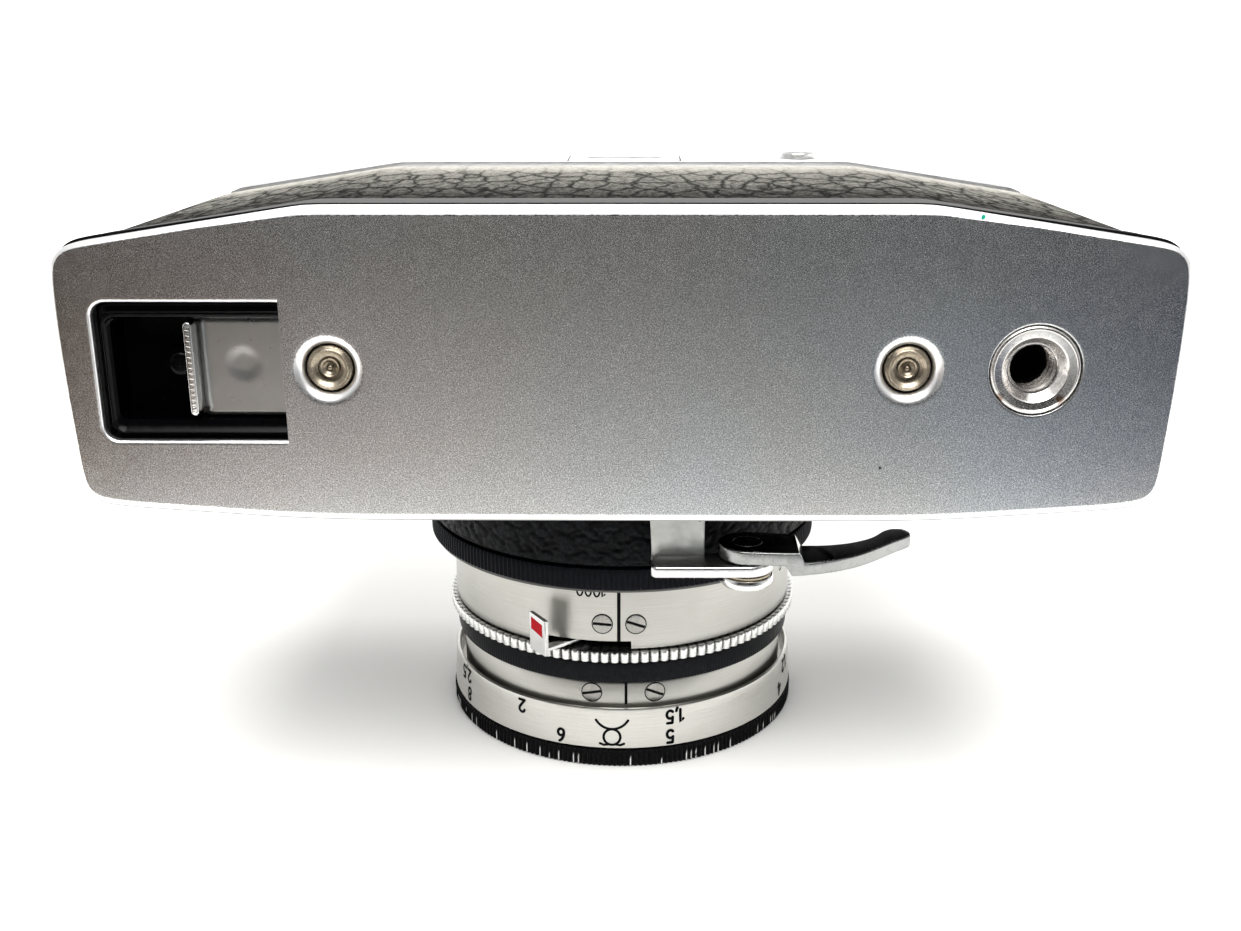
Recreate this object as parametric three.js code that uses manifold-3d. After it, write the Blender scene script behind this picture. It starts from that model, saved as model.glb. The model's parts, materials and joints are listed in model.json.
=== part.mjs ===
// A 35 mm single-lens reflex film camera of the 1960s with a leaf shutter, a boxy metal body,
// a folding rewind crank and a tripod socket in its base. All dimensions are in millimetres.
//
// Frame: the camera stands on the front ring of its lens. Z = 0 is the plane it stands on, and +Z
// runs along the lens axis towards the camera's back. -Y is the outward side of the base plate,
// +Y is the camera's top, and +X is the photographer's right. The origin is the centre of the
// object's box, at its foot.
import * as THREE from "three";
import { mergeVertices } from "three/addons/utils/BufferGeometryUtils.js";
import Module from "manifold-3d";

const wasm = await Module();
wasm.setup();

// ---------------------------------------------------------------- driving dimensions
const BASE_Y = -46; // outer face of the base plate
const TOP_Y = 46; // top of the accessory shoe
const LENS_Y = -6; // lens axis
const HALF_WIDTH = 68.6; // widest half width of the base plate
const REAR_Z = 82.25; // flat rear edge of the outline
const FRONT_Z = 43.0; // middle of the bowed front edge
const PLATE = 0.8; // sheet thickness of the base plate
const PAN_WALL_Y = -43.6; // free edge of the base plate's turned-up wall
const CAST_LOW_Y = -43.2;
const CAST_TOP_Y = 22.9;
const COVER_LOW_Y = 23.2; // top cover's lower edge
const COVER_TOP_Y = 41.4;
const HUMP_Y = 43.0;
const CAST_INSET = 1.15; // casting's skin inside the outline
const FILM_Z = 77.0; // film rails
const GATE_W = 36, GATE_H = 24;
const CHAMBER_R = 13.2, CHAMBER_X = 51.5, CHAMBER_Z = 62.3;
const CHAMBER_Y0 = -31, CHAMBER_Y1 = 19;
const BOX_HALF_X = 18.6, BOX_Y0 = -23, BOX_Y1 = 14.4; // mirror box
const MIRROR_HINGE = [11.5, 73.6]; // y, z
const MIRROR_LEN = 33, MIRROR_W = 28, MIRROR_T = 1.4;
const WELL = { x0: -64.2, x1: -41.2, z0: 53.3, z1: 70.75, floor: -39.0 };
const CRANK_HINGE = [-41.8, -41.3]; // x, y
const CRANK_Z = 61.85;
const SHAFT_X = -55.6, SHAFT_Z = 61.9;
const SCREW_X = 35.58, SCREW_Z = 62.45, SCREW_R = 3.1, DIMPLE_R = 4.3;
const SOCKET_X = 51.0, SOCKET_Z = 62.5, COLLAR_R = 5.73, THREAD_R = 3.0; // 1/4"-20 thread, mean radius
const PIVOT = [17.2, -37.6]; // wind lever's pivot, x, y
const DRUM_R = 29.85;
const HINGE = [67.1, 73.9]; // back door's hinge axis, x, z
const DOOR_Y0 = -43.0, DOOR_Y1 = 22.7;
const RINGS = {
  lock: { r: 29.9, z0: 28.4, z1: 32.0 },
  barrel: { r0: 26.25, r1: 26.5, z0: 18.5, z1: 28.1 },
  aperture: { r: 27.35, z0: 16.6, z1: 18.3 },
  depth: { r: 26.35, z0: 13.0, z1: 16.3 },
  index: { r: 25.4, z0: 6.2, z1: 12.7 },
  focus: { r1: 26.9, r0: 27.2, z0: 2.96, z1: 9.15 },
  grip: { r: 27.4, z0: 0, z1: 2.66 },
};
const BARREL_SCREWS = [-5.4, 4.95], BARREL_SCREW_Z = 22.35; // degrees from the front, height
const INDEX_SCREWS = [-9.3, 11.5], INDEX_SCREW_Z = 11.0;
const ARM_Z = 18.9, FLAG_TOP_Z = 24.35; // flash-timing lever

// ---------------------------------------------------------------- solids
function solid(geometry) {
  let g = geometry.index ? geometry.toNonIndexed() : geometry.clone();
  g.deleteAttribute("normal");
  g.deleteAttribute("uv");
  g = mergeVertices(g, 1e-4);
  const from = g.index.array, idx = [];
  for (let i = 0; i < from.length; i += 3) {
    const a = from[i], b = from[i + 1], c = from[i + 2];
    if (a !== b && b !== c && a !== c) idx.push(a, b, c);
  }
  const make = (t) =>
    new wasm.Manifold(
      new wasm.Mesh({
        numProp: 3,
        vertProperties: new Float32Array(g.attributes.position.array),
        triVerts: new Uint32Array(t),
      }),
    );
  let m = make(idx);
  if (m.volume() < 0) {
    for (let i = 0; i < idx.length; i += 3) [idx[i + 1], idx[i + 2]] = [idx[i + 2], idx[i + 1]];
    m = make(idx);
  }
  return m;
}
const union = (...s) => s.reduce((a, b) => a.add(b));
const cut = (a, ...s) => s.reduce((x, y) => x.subtract(y), a);

const box = (x0, x1, y0, y1, z0, z1) =>
  solid(
    new THREE.BoxGeometry(x1 - x0, y1 - y0, z1 - z0).translate(
      (x0 + x1) / 2, (y0 + y1) / 2, (z0 + z1) / 2,
    ),
  );
// a round bar along an axis, from a to b
function bar(axis, u, v, r, a, b, n = 24) {
  const g = new THREE.CylinderGeometry(r, r, b - a, n);
  const m = (a + b) / 2;
  if (axis === "y") g.translate(u, m, v);
  else if (axis === "z") g.rotateX(Math.PI / 2).translate(u, v, m);
  else g.rotateZ(Math.PI / 2).translate(m, u, v);
  return solid(g);
}
// a turned body: profile of [radius, height] about an axis through (u, v)
function turned(axis, u, v, profile, n = 40, closed = true) {
  const pts = profile.map(([r, h]) => new THREE.Vector2(r, h));
  if (closed) pts.push(pts[0].clone());
  const g = new THREE.LatheGeometry(pts, n);
  if (axis === "z") g.rotateX(Math.PI / 2).translate(u, v, 0);
  else g.translate(u, 0, v);
  return solid(g);
}
const tube = (axis, u, v, r0, r1, a, b, n = 40) =>
  turned(axis, u, v, [[r0, a], [r1, a], [r1, b], [r0, b]], n);
// a flat shape in x and z, extruded along y
function slab(points, y0, y1, holes = []) {
  const s = new THREE.Shape(points.map(([x, z]) => new THREE.Vector2(x, z)));
  for (const h of holes) s.holes.push(new THREE.Path(h.map(([x, z]) => new THREE.Vector2(x, z))));
  const g = new THREE.ExtrudeGeometry(s, { depth: y1 - y0, bevelEnabled: false });
  return solid(g.rotateX(Math.PI / 2).translate(0, y1, 0));
}
// a flat shape in x and y, extruded along z
function sheetZ(points, z0, z1) {
  const s = new THREE.Shape(points.map(([x, y]) => new THREE.Vector2(x, y)));
  return solid(new THREE.ExtrudeGeometry(s, { depth: z1 - z0, bevelEnabled: false }).translate(0, 0, z0));
}
// a flat shape in y and z, extruded along x
function sheetX(points, x0, x1) {
  const s = new THREE.Shape(points.map(([y, z]) => new THREE.Vector2(y, z)));
  const g = new THREE.ExtrudeGeometry(s, { depth: x1 - x0, bevelEnabled: false });
  // shape x -> Y, shape y -> Z, depth -> X
  g.applyMatrix4(new THREE.Matrix4().set(0, 0, 1, x0, 1, 0, 0, 0, 0, 1, 0, 0, 0, 0, 0, 1));
  return solid(g);
}
// a closed loft through rings of equally many [x, z] points, each at its own y
function loft(rings) {
  const n = rings[0].pts.length, pos = [], idx = [];
  for (const r of rings) for (const [x, z] of r.pts) pos.push(x, r.y, z);
  for (let k = 0; k + 1 < rings.length; k++)
    for (let i = 0; i < n; i++) {
      const j = (i + 1) % n, a = k * n + i, b = k * n + j, c = (k + 1) * n + i, d = (k + 1) * n + j;
      idx.push(a, b, d, a, d, c);
    }
  const capOf = (k, flip) => {
    const flat = rings[k].pts.map(([x, z]) => new THREE.Vector2(x, z));
    for (const [a, b, c] of THREE.ShapeUtils.triangulateShape(flat, []))
      flip ? idx.push(k * n + a, k * n + c, k * n + b) : idx.push(k * n + a, k * n + b, k * n + c);
  };
  // the side quads and both caps must turn the same way round
  const cw = THREE.ShapeUtils.isClockWise(rings[0].pts.map(([x, z]) => new THREE.Vector2(x, z)));
  capOf(0, !cw ? true : false);
  capOf(rings.length - 1, !cw ? false : true);
  const g = new THREE.BufferGeometry();
  g.setAttribute("position", new THREE.Float32BufferAttribute(pos, 3));
  g.setIndex(idx);
  return solid(g);
}

// ---------------------------------------------------------------- the body's outline, seen along y
const HALF = [
  [0, REAR_Z + 0.03], [37.2, REAR_Z], [39.4, 81.98], [49.5, 80.4], [59.3, 78.87], [65.4, 77.9], [66.9, 77.3],
  [67.9, 76.3], [68.4, 75.0], [HALF_WIDTH, 72], [HALF_WIDTH, 66], [68.4, 59], [68.1, 53], [67.85, 48.6],
  [67.5, 46.9], [66.8, 45.8], [65.5, 45.0], [62, 44.5], [56, 44.07], [50, 43.68], [44, 43.27], [38, 43.04],
  [32, FRONT_Z + 0.01], [0, FRONT_Z],
];
const OUTLINE = [...HALF, ...HALF.slice(1, -1).reverse().map(([x, z]) => [-x, z])];
function inset(points, d) {
  const n = points.length, out = [];
  for (let i = 0; i < n; i++) {
    const p = points[(i + n - 1) % n], q = points[i], r = points[(i + 1) % n];
    const e1 = [q[0] - p[0], q[1] - p[1]], e2 = [r[0] - q[0], r[1] - q[1]];
    const l1 = Math.hypot(...e1), l2 = Math.hypot(...e2);
    // inward normals of a clockwise outline
    const n1 = [e1[1] / l1, -e1[0] / l1], n2 = [e2[1] / l2, -e2[0] / l2];
    const b = [n1[0] + n2[0], n1[1] + n2[1]], s = 1 + n1[0] * n2[0] + n1[1] * n2[1];
    out.push([q[0] + (d * b[0]) / s, q[1] + (d * b[1]) / s]);
  }
  return out;
}
const clockwise = THREE.ShapeUtils.isClockWise(OUTLINE.map(([x, z]) => new THREE.Vector2(x, z)));
const ring = (d) => inset(OUTLINE, clockwise ? d : -d);

// ---------------------------------------------------------------- the scene graph
const root = new THREE.Group();
const finish = {
  satin_chrome: { color: 0x9d9d9b, roughness: 0.35, metalness: 1 },
  polished_chrome: { color: 0xd9d9d6, roughness: 0.12, metalness: 1 },
  satin_silver: { color: 0xcfcdc6, roughness: 0.4, metalness: 0.9 },
  nickel: { color: 0x8d7c63, roughness: 0.3, metalness: 1 },
  casting: { color: 0x3a3b3d, roughness: 0.6, metalness: 0.6 },
  leather: { color: 0x17191b, roughness: 0.55, metalness: 0 },
  black_ring: { color: 0x15171a, roughness: 0.4, metalness: 0.3 },
  black_plastic: { color: 0x050506, roughness: 0.12, metalness: 0 },
  glass: { color: 0xbfd0d8, roughness: 0.03, metalness: 0 },
  steel: { color: 0x9a9a98, roughness: 0.3, metalness: 1 },
  mirror: { color: 0xe8eef0, roughness: 0.02, metalness: 1 },
};
function add(name, manifold, look, parent = root) {
  const m = manifold.getMesh(), g = new THREE.BufferGeometry();
  const v = new Float32Array((m.vertProperties.length / m.numProp) * 3);
  for (let i = 0; i < v.length / 3; i++)
    for (let k = 0; k < 3; k++) v[3 * i + k] = m.vertProperties[i * m.numProp + k];
  g.setAttribute("position", new THREE.BufferAttribute(v, 3));
  g.setIndex(new THREE.BufferAttribute(new Uint32Array(m.triVerts), 1));
  g.computeVertexNormals();
  const mesh = new THREE.Mesh(g, new THREE.MeshStandardMaterial(finish[look]));
  mesh.name = name;
  parent.add(mesh);
  return mesh;
}
const group = () => {
  const g = new THREE.Group();
  root.add(g);
  return g;
};

// ---------------------------------------------------------------- base
{
  const g = group();
  const pan = loft([
    { pts: ring(PLATE + 0.15), y: BASE_Y + PLATE },
    { pts: ring(PLATE + 0.15), y: PAN_WALL_Y },
    { pts: ring(0.1), y: PAN_WALL_Y },
    { pts: ring(0), y: BASE_Y + 1.2 },
    { pts: ring(0.35), y: BASE_Y + 0.4 },
    { pts: ring(1.1), y: BASE_Y },
  ]);
  add(
    "base_plate",
    cut(
      pan,
      box(WELL.x0, WELL.x1, BASE_Y - 1, BASE_Y + 2, WELL.z0, WELL.z1),
      bar("y", SOCKET_X, SOCKET_Z, COLLAR_R + 0.3, BASE_Y - 1, BASE_Y + 2, 32),
      bar("y", SCREW_X, SCREW_Z, SCREW_R + 0.3, BASE_Y - 1, BASE_Y + 2, 24),
      bar("y", -SCREW_X, SCREW_Z, SCREW_R + 0.3, BASE_Y - 1, BASE_Y + 2, 24),
    ),
    "satin_chrome", g,
  );
  const screw = (x) =>
    turned("y", x, SCREW_Z, [[0, BASE_Y + 0.15], [1.0, BASE_Y + 0.15], [SCREW_R, BASE_Y + 0.35], [SCREW_R, BASE_Y + 1.9],
      [1.4, BASE_Y + 1.9], [1.4, BASE_Y + 7], [0, BASE_Y + 7]], 24, false);
  add("base_screw_left", screw(-SCREW_X), "nickel", g);
  add("base_screw_right", screw(SCREW_X), "nickel", g);
  add(
    "tripod_bush",
    turned("y", SOCKET_X, SOCKET_Z, [[THREAD_R, BASE_Y], [4.9, BASE_Y], [COLLAR_R, BASE_Y + 0.5], [COLLAR_R, BASE_Y + 3.4],
      [7.2, BASE_Y + 3.4], [7.2, BASE_Y + 5.4], [5.2, BASE_Y + 5.4], [5.2, BASE_Y + 11.5], [THREAD_R, BASE_Y + 11.5]], 32),
    "steel", g,
  );
  const w = WELL;
  add(
    "rewind_well",
    cut(
      box(w.x0 + 0.35, w.x1 + 2.0, BASE_Y + PLATE + 0.3, w.floor, w.z0 + 0.35, w.z1 - 0.35),
      box(w.x0 + 1.6, w.x1 + 1.1, BASE_Y - 1, w.floor - 1.1, w.z0 + 2.3, w.z1 - 2.3),
      bar("y", SHAFT_X, SHAFT_Z, 2.7, w.floor - 3, w.floor + 2, 24),
    ),
    "black_plastic", g,
  );
}

// ---------------------------------------------------------------- rewind
{
  const g = group();
  const [hx, hy] = CRANK_HINGE, z0 = CRANK_Z - 6.1, z1 = CRANK_Z + 6.1;
  // flap with a curled end and an upright finger lip, and two ears on its pin
  const flap = slab([[-52.9, z0], [-41.9, z0], [-41.9, z1], [-52.9, z1]], -42.9, -42.2);
  const curl = box(-53.6, -52.6, -43.9, -42.2, z0 + 0.4, z1 - 0.4);
  const lip = box(-53.6, -52.8, -45.3, -43.8, z0 + 0.9, z1 - 0.9);
  const ear = (a, b) => union(bar("z", hx, hy, 1.0, a, b, 16), box(hx - 1.0, hx + 0.0, -42.5, hy, a, b));
  add("rewind_crank", cut(union(flap, curl, lip, ear(z0, z0 + 1.4), ear(z1 - 1.4, z1)), bar("z", hx, hy, 0.62, z0 - 1, z1 + 1, 16)), "steel", g);
  add("crank_pin", bar("z", hx, hy, 0.55, z0 + 0.05, z1 - 0.05, 16), "steel", g);
  // spindle with its fork, which turns the film cartridge
  const fork = union(
    bar("y", SHAFT_X, SHAFT_Z, 2.4, WELL.floor - 1.6, CHAMBER_Y0 + 1.2, 20),
    bar("y", SHAFT_X, SHAFT_Z, 3.6, CHAMBER_Y0 + 0.5, CHAMBER_Y0 + 2.4, 20),
    box(SHAFT_X - 0.5, SHAFT_X + 0.5, CHAMBER_Y0 + 1.8, CHAMBER_Y0 + 5.6, SHAFT_Z - 2.4, SHAFT_Z + 2.4),
  );
  add("rewind_shaft", fork, "steel", g);
}

// ---------------------------------------------------------------- body casting
{
  const g = group();
  const skin = slab(ring(CAST_INSET), CAST_LOW_Y, CAST_TOP_Y);
  const keep = union(
    box(-70, 70, CAST_LOW_Y - 1, CAST_TOP_Y + 1, 40, 72.5),
    slab([[-36.8, 79.25], [36.8, 79.25], [64.2, 75.1], [64.2, 48], [-64.2, 48], [-64.2, 75.1]], CAST_LOW_Y, CAST_TOP_Y),
  );
  let c = skin.intersect(keep);
  const chamber = (s) =>
    union(
      bar("y", s * CHAMBER_X, CHAMBER_Z, CHAMBER_R, CHAMBER_Y0, CHAMBER_Y1, 32),
      box(s * CHAMBER_X - CHAMBER_R, s * CHAMBER_X + CHAMBER_R, CHAMBER_Y0, CHAMBER_Y1, CHAMBER_Z, 90),
    );
  const halfGate = GATE_W / 2;
  c = cut(
    c,
    chamber(-1),
    chamber(1),
    // sprocket channel
    bar("y", 32.5, 70.6, 7.4, -27, 15, 24),
    box(25.1, 39.9, -27, 15, 70.6, 90),
    bar("y", 32.5, 70.6, 1.75, -30.2, 18.2, 14),
    // film plane, from chamber to chamber
    box(-39, 39, -28, 16, FILM_Z, 90),
    // space beside the film plane for the door
    box(-70, 70, CHAMBER_Y0, CHAMBER_Y1, 79.3, 90),
    // mirror box with its gate
    box(-BOX_HALF_X, BOX_HALF_X, BOX_Y0, BOX_Y1, 40, FILM_Z - 1.6),
    box(-halfGate, halfGate, LENS_Y - GATE_H / 2, LENS_Y + GATE_H / 2, 60, 90),
    // opening to the finder
    box(-18, 18, BOX_Y1 - 1, CAST_TOP_Y + 1, 44.9, 72),
    // seats in the base
    box(WELL.x0 - 0.3, WELL.x1 + 2.3, CAST_LOW_Y - 1, WELL.floor + 0.3, WELL.z0 - 0.3, WELL.z1 + 0.3),
    bar("y", SHAFT_X, SHAFT_Z, 2.75, -44, CHAMBER_Y0 + 1, 24),
    bar("y", SOCKET_X, SOCKET_Z, 7.5, -44, BASE_Y + 5.7, 32),
    bar("y", SOCKET_X, SOCKET_Z, 5.5, -44, BASE_Y + 12.5, 32),
    bar("y", SCREW_X, SCREW_Z, 1.7, -44, BASE_Y + 8, 16),
    bar("y", -SCREW_X, SCREW_Z, 1.7, -44, BASE_Y + 8, 16),
    // slot for the latch's stem
    box(-70, -66.3, -2.4, 6.6, 64.9, 67.1),
    // room for the door's knuckle
    bar("y", HINGE[0], HINGE[1], 1.55, -45, 24, 20),
    // ends of the spool's shaft
    bar("y", CHAMBER_X, CHAMBER_Z, 2.6, -33.9, CAST_TOP_Y + 1, 16),
    bar("y", CHAMBER_X, CHAMBER_Z, 3.8, 20.1, CAST_TOP_Y + 1, 16),
    // counter well in the top deck
    bar("y", 57.5, 60, 7.6, CAST_TOP_Y - 1.2, CAST_TOP_Y + 1, 24),
  );
  add("body_casting", c, "casting", g);

  // leather covering: each side wraps from the drum round the corner to the door
  const outer = ring(0.35), inner = ring(0.85);
  const wrap = cut(
    slab(outer, -42.9, 22.6),
    slab(inner, -44, 24),
    box(-31, 31, -50, 30, 30, 90),
    box(-80, 80, -50, 30, 72.2, 90),
  );
  const rightHalf = box(0, 80, -50, 40, 30, 90);
  add("side_leather_right", wrap.intersect(rightHalf), "leather", g);
  add("side_leather_left", cut(wrap, rightHalf, box(-70, -66.3, -2.4, 6.6, 64.9, 67.1)), "leather", g);
}

// ---------------------------------------------------------------- back door
{
  const g = group();
  const above = (z) => box(-80, 80, -50, 40, z, 100);
  const shell = cut(slab(ring(1.25), DOOR_Y0, DOOR_Y1), slab(ring(2.4), DOOR_Y0 - 1, DOOR_Y1 + 1)).intersect(
    union(box(-80, 60, -50, 40, 72.9, 100), above(74.0)),
  );
  const knuckle = bar("y", HINGE[0], HINGE[1], 1.1, DOOR_Y0 + 0.1, DOOR_Y1 - 0.1, 18);
  const web = box(66.0, 67.35, DOOR_Y0, DOOR_Y1, 73.9, 75.6).intersect(slab(ring(1.25), DOOR_Y0, DOOR_Y1));
  const door = cut(union(shell, knuckle, web), bar("y", HINGE[0], HINGE[1], 0.62, DOOR_Y0 - 1, DOOR_Y1 + 1, 16));
  add("back_door", door, "satin_chrome", g);
  add("hinge_pin", bar("y", HINGE[0], HINGE[1], 0.55, DOOR_Y0 - 0.15, DOOR_Y1 + 0.1, 16), "steel", g);
  const skin = cut(slab(ring(0.45), -37.6, 17.6), slab(ring(0.95), -50, 30)).intersect(
    union(box(-67.2, 65.9, -50, 40, 74.6, 100)),
  );
  add("back_leather", skin, "leather", g);
  add("pressure_plate", box(-26, 22, -22.5, 10.5, 77.5, 78.7), "steel", g);
}
// latch on the side wall, which slides along y
add("back_latch", union(box(-69.3, -68.6, -5.5, 5.5, 63.2, 68.8), box(-68.8, -66.6, -2, 2, 65.2, 66.8)), "satin_chrome");

// ---------------------------------------------------------------- transport
{
  const g = group();
  const x = 32.5, z = 70.6;
  const teeth = [];
  for (const y of [-22.6, 9.4])
    for (let i = 0; i < 8; i++) {
      const t = new THREE.BoxGeometry(1.2, 1.4, 2.4).translate(0, 0, 5.5);
      t.rotateY((i * Math.PI) / 4 + Math.PI / 8).translate(x, y, z);
      teeth.push(solid(t));
    }
  add("sprocket", union(bar("y", x, z, 1.4, -29.6, 17.6, 14), bar("y", x, z, 5.6, -25.5, -19.5, 24), bar("y", x, z, 3.2, -20, 7, 16), bar("y", x, z, 5.6, 6.5, 12.5, 24), ...teeth), "steel", g);
  const s = CHAMBER_X;
  const spool = cut(
    turned("y", s, CHAMBER_Z, [[2.6, -29.6], [10.6, -29.6], [10.6, -28.2], [6.4, -28.2], [6.4, 16.2], [10.6, 16.2], [10.6, 17.6], [2.6, 17.6]], 28),
    box(s - 0.7, s + 0.7, -22, 10, CHAMBER_Z, CHAMBER_Z + 9),
  );
  add("takeup_spool", spool, "black_plastic", g);
  add("spool_shaft", union(bar("y", s, CHAMBER_Z, 2.25, -33.6, 21.2, 16), bar("y", s, CHAMBER_Z, 3.4, 20.4, 21.2, 16)), "steel", g);
}

// ---------------------------------------------------------------- mirror, screen, prism, eyepiece
{
  const g = group();
  const [hy, hz] = MIRROR_HINGE;
  const plate = new THREE.BoxGeometry(MIRROR_W, MIRROR_T, MIRROR_LEN).translate(0, 0, -MIRROR_LEN / 2);
  plate.rotateX(-Math.PI / 4).translate(0, hy, hz);
  // -Z turned by +45 degrees towards -Y
  add("mirror", union(solid(plate), bar("x", hy, hz, 0.9, -18.2, 18.2, 14)), "mirror", g);
  add("focusing_screen", box(-17.6, 17.6, 15.2, 16.4, 45.3, 67.6), "glass", g);
  const prism = sheetX([[17.0, 46.5], [17.0, 70.5], [33.5, 70.5], [39.6, 62.5], [39.6, 56], [25.5, 45.6]], -14.5, 14.5);
  add("pentaprism", prism, "glass", g);
}

// ---------------------------------------------------------------- top cover
{
  const g = group();
  const shell = loft([
    { pts: ring(1.3), y: COVER_LOW_Y },
    { pts: ring(1.3), y: COVER_TOP_Y - 1.2 },
    { pts: ring(2.2), y: COVER_TOP_Y - 1.0 },
  ]);
  let cover = loft([
    { pts: ring(0.3), y: COVER_LOW_Y },
    { pts: ring(0.3), y: COVER_TOP_Y - 1.6 },
    { pts: ring(0.75), y: COVER_TOP_Y - 0.5 },
    { pts: ring(1.9), y: COVER_TOP_Y },
  ]);
  const hump = loft([
    { pts: [[-24, 46.5], [24, 46.5], [24, 79], [-24, 79]], y: COVER_TOP_Y - 0.8 },
    { pts: [[-24, 46.5], [24, 46.5], [24, 79], [-24, 79]], y: HUMP_Y - 0.5 },
    { pts: [[-22.6, 47.6], [22.6, 47.6], [22.6, 77.8], [-22.6, 77.8]], y: HUMP_Y },
  ]);
  cover = cut(
    union(cover, hump),
    shell,
    box(-9.75, 9.75, 24.25, 36.15, 70, 90), // eyepiece window
    bar("y", 45, 59, 4.3, 38, 50, 24), // release collar
    bar("y", 57.5, 60, 5.0, 38, 50, 24), // counter window
    box(-57.3, -30.7, 26.7, 37.3, 35, 60), // light meter window
    bar("z", 30, 31, 3.1, 75, 90, 20), // flash socket
  );
  add("top_cover", cover, "satin_chrome", g);

  // accessory shoe: a plate with two turned-over rails, open at the back
  const y0 = HUMP_Y + 0.3;
  const shoe = union(
    box(-10.4, 10.4, y0, y0 + 0.7, 55, 74),
    box(-10.4, -9.4, y0, TOP_Y, 55, 74),
    box(9.4, 10.4, y0, TOP_Y, 55, 74),
    box(-10.4, -6.3, TOP_Y - 0.7, TOP_Y, 55, 74),
    box(6.3, 10.4, TOP_Y - 0.7, TOP_Y, 55, 74),
    box(-10.4, 10.4, y0, TOP_Y - 0.9, 54.2, 55.2),
  );
  add("accessory_shoe", shoe, "polished_chrome", g);

  add("eyepiece_frame", cut(box(-9.4, 9.4, 24.6, 35.8, REAR_Z - 1.65, REAR_Z - 0.05), box(-6.4, 6.4, 27.2, 33.2, 78, 90)), "polished_chrome", g);
  add("eyepiece_lens", box(-7.2, 7.2, 26.6, 33.8, 78.2, 80.2), "glass", g);

  add("release_collar", tube("y", 45, 59, 2.9, 5.2, COVER_TOP_Y + 0.3, COVER_TOP_Y + 2.0, 28), "polished_chrome", g);
  add("release_button", union(bar("y", 45, 59, 2.6, COVER_TOP_Y - 2.4, COVER_TOP_Y + 3.6, 24), bar("y", 45, 59, 3.9, COVER_TOP_Y - 4.4, COVER_TOP_Y - 2.2, 24)), "polished_chrome", g);

  add("counter_dial", bar("y", 57.5, 60, 6.2, COVER_TOP_Y - 4.6, COVER_TOP_Y - 3.6, 28), "black_ring", g);
  add("counter_window", union(bar("y", 57.5, 60, 4.7, COVER_TOP_Y - 1.3, COVER_TOP_Y + 0.1, 24), bar("y", 57.5, 60, 5.5, COVER_TOP_Y - 2.6, COVER_TOP_Y - 1.3, 24)), "glass", g);

  add("meter_window", union(box(-57, -31, 27, 37, 44.55, 46.8), box(-58.4, -29.6, 25.8, 38.4, 46.6, 47.6)), "glass", g);

  add("sync_socket", cut(union(bar("z", 30, 31, 2.8, 79.6, 83.0, 24), bar("z", 30, 31, 3.6, 77.8, 79.6, 24)), bar("z", 30, 31, 1.9, 80.6, 90, 20)), "polished_chrome", g);
}

// ---------------------------------------------------------------- strap lugs
for (const [name, s] of [["strap_lug_left", -1], ["strap_lug_right", 1]]) {
  const ring_ = cut(
    union(
      sheetZ([[s * 68.9, 28.2], [s * 69.6, 27.9], [s * 71.9, 29.6], [s * 72.7, 31.5], [s * 71.9, 33.4], [s * 69.6, 35.1], [s * 68.9, 34.8]].slice(), 58.6, 60.4),
      box(Math.min(s * 68.5, s * 69.7), Math.max(s * 68.5, s * 69.7), 27.4, 35.6, 56.6, 62.4),
    ),
    bar("z", s * 70.6, 31.5, 1.35, 50, 70, 16),
  );
  add(name, ring_, "polished_chrome");
}

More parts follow.
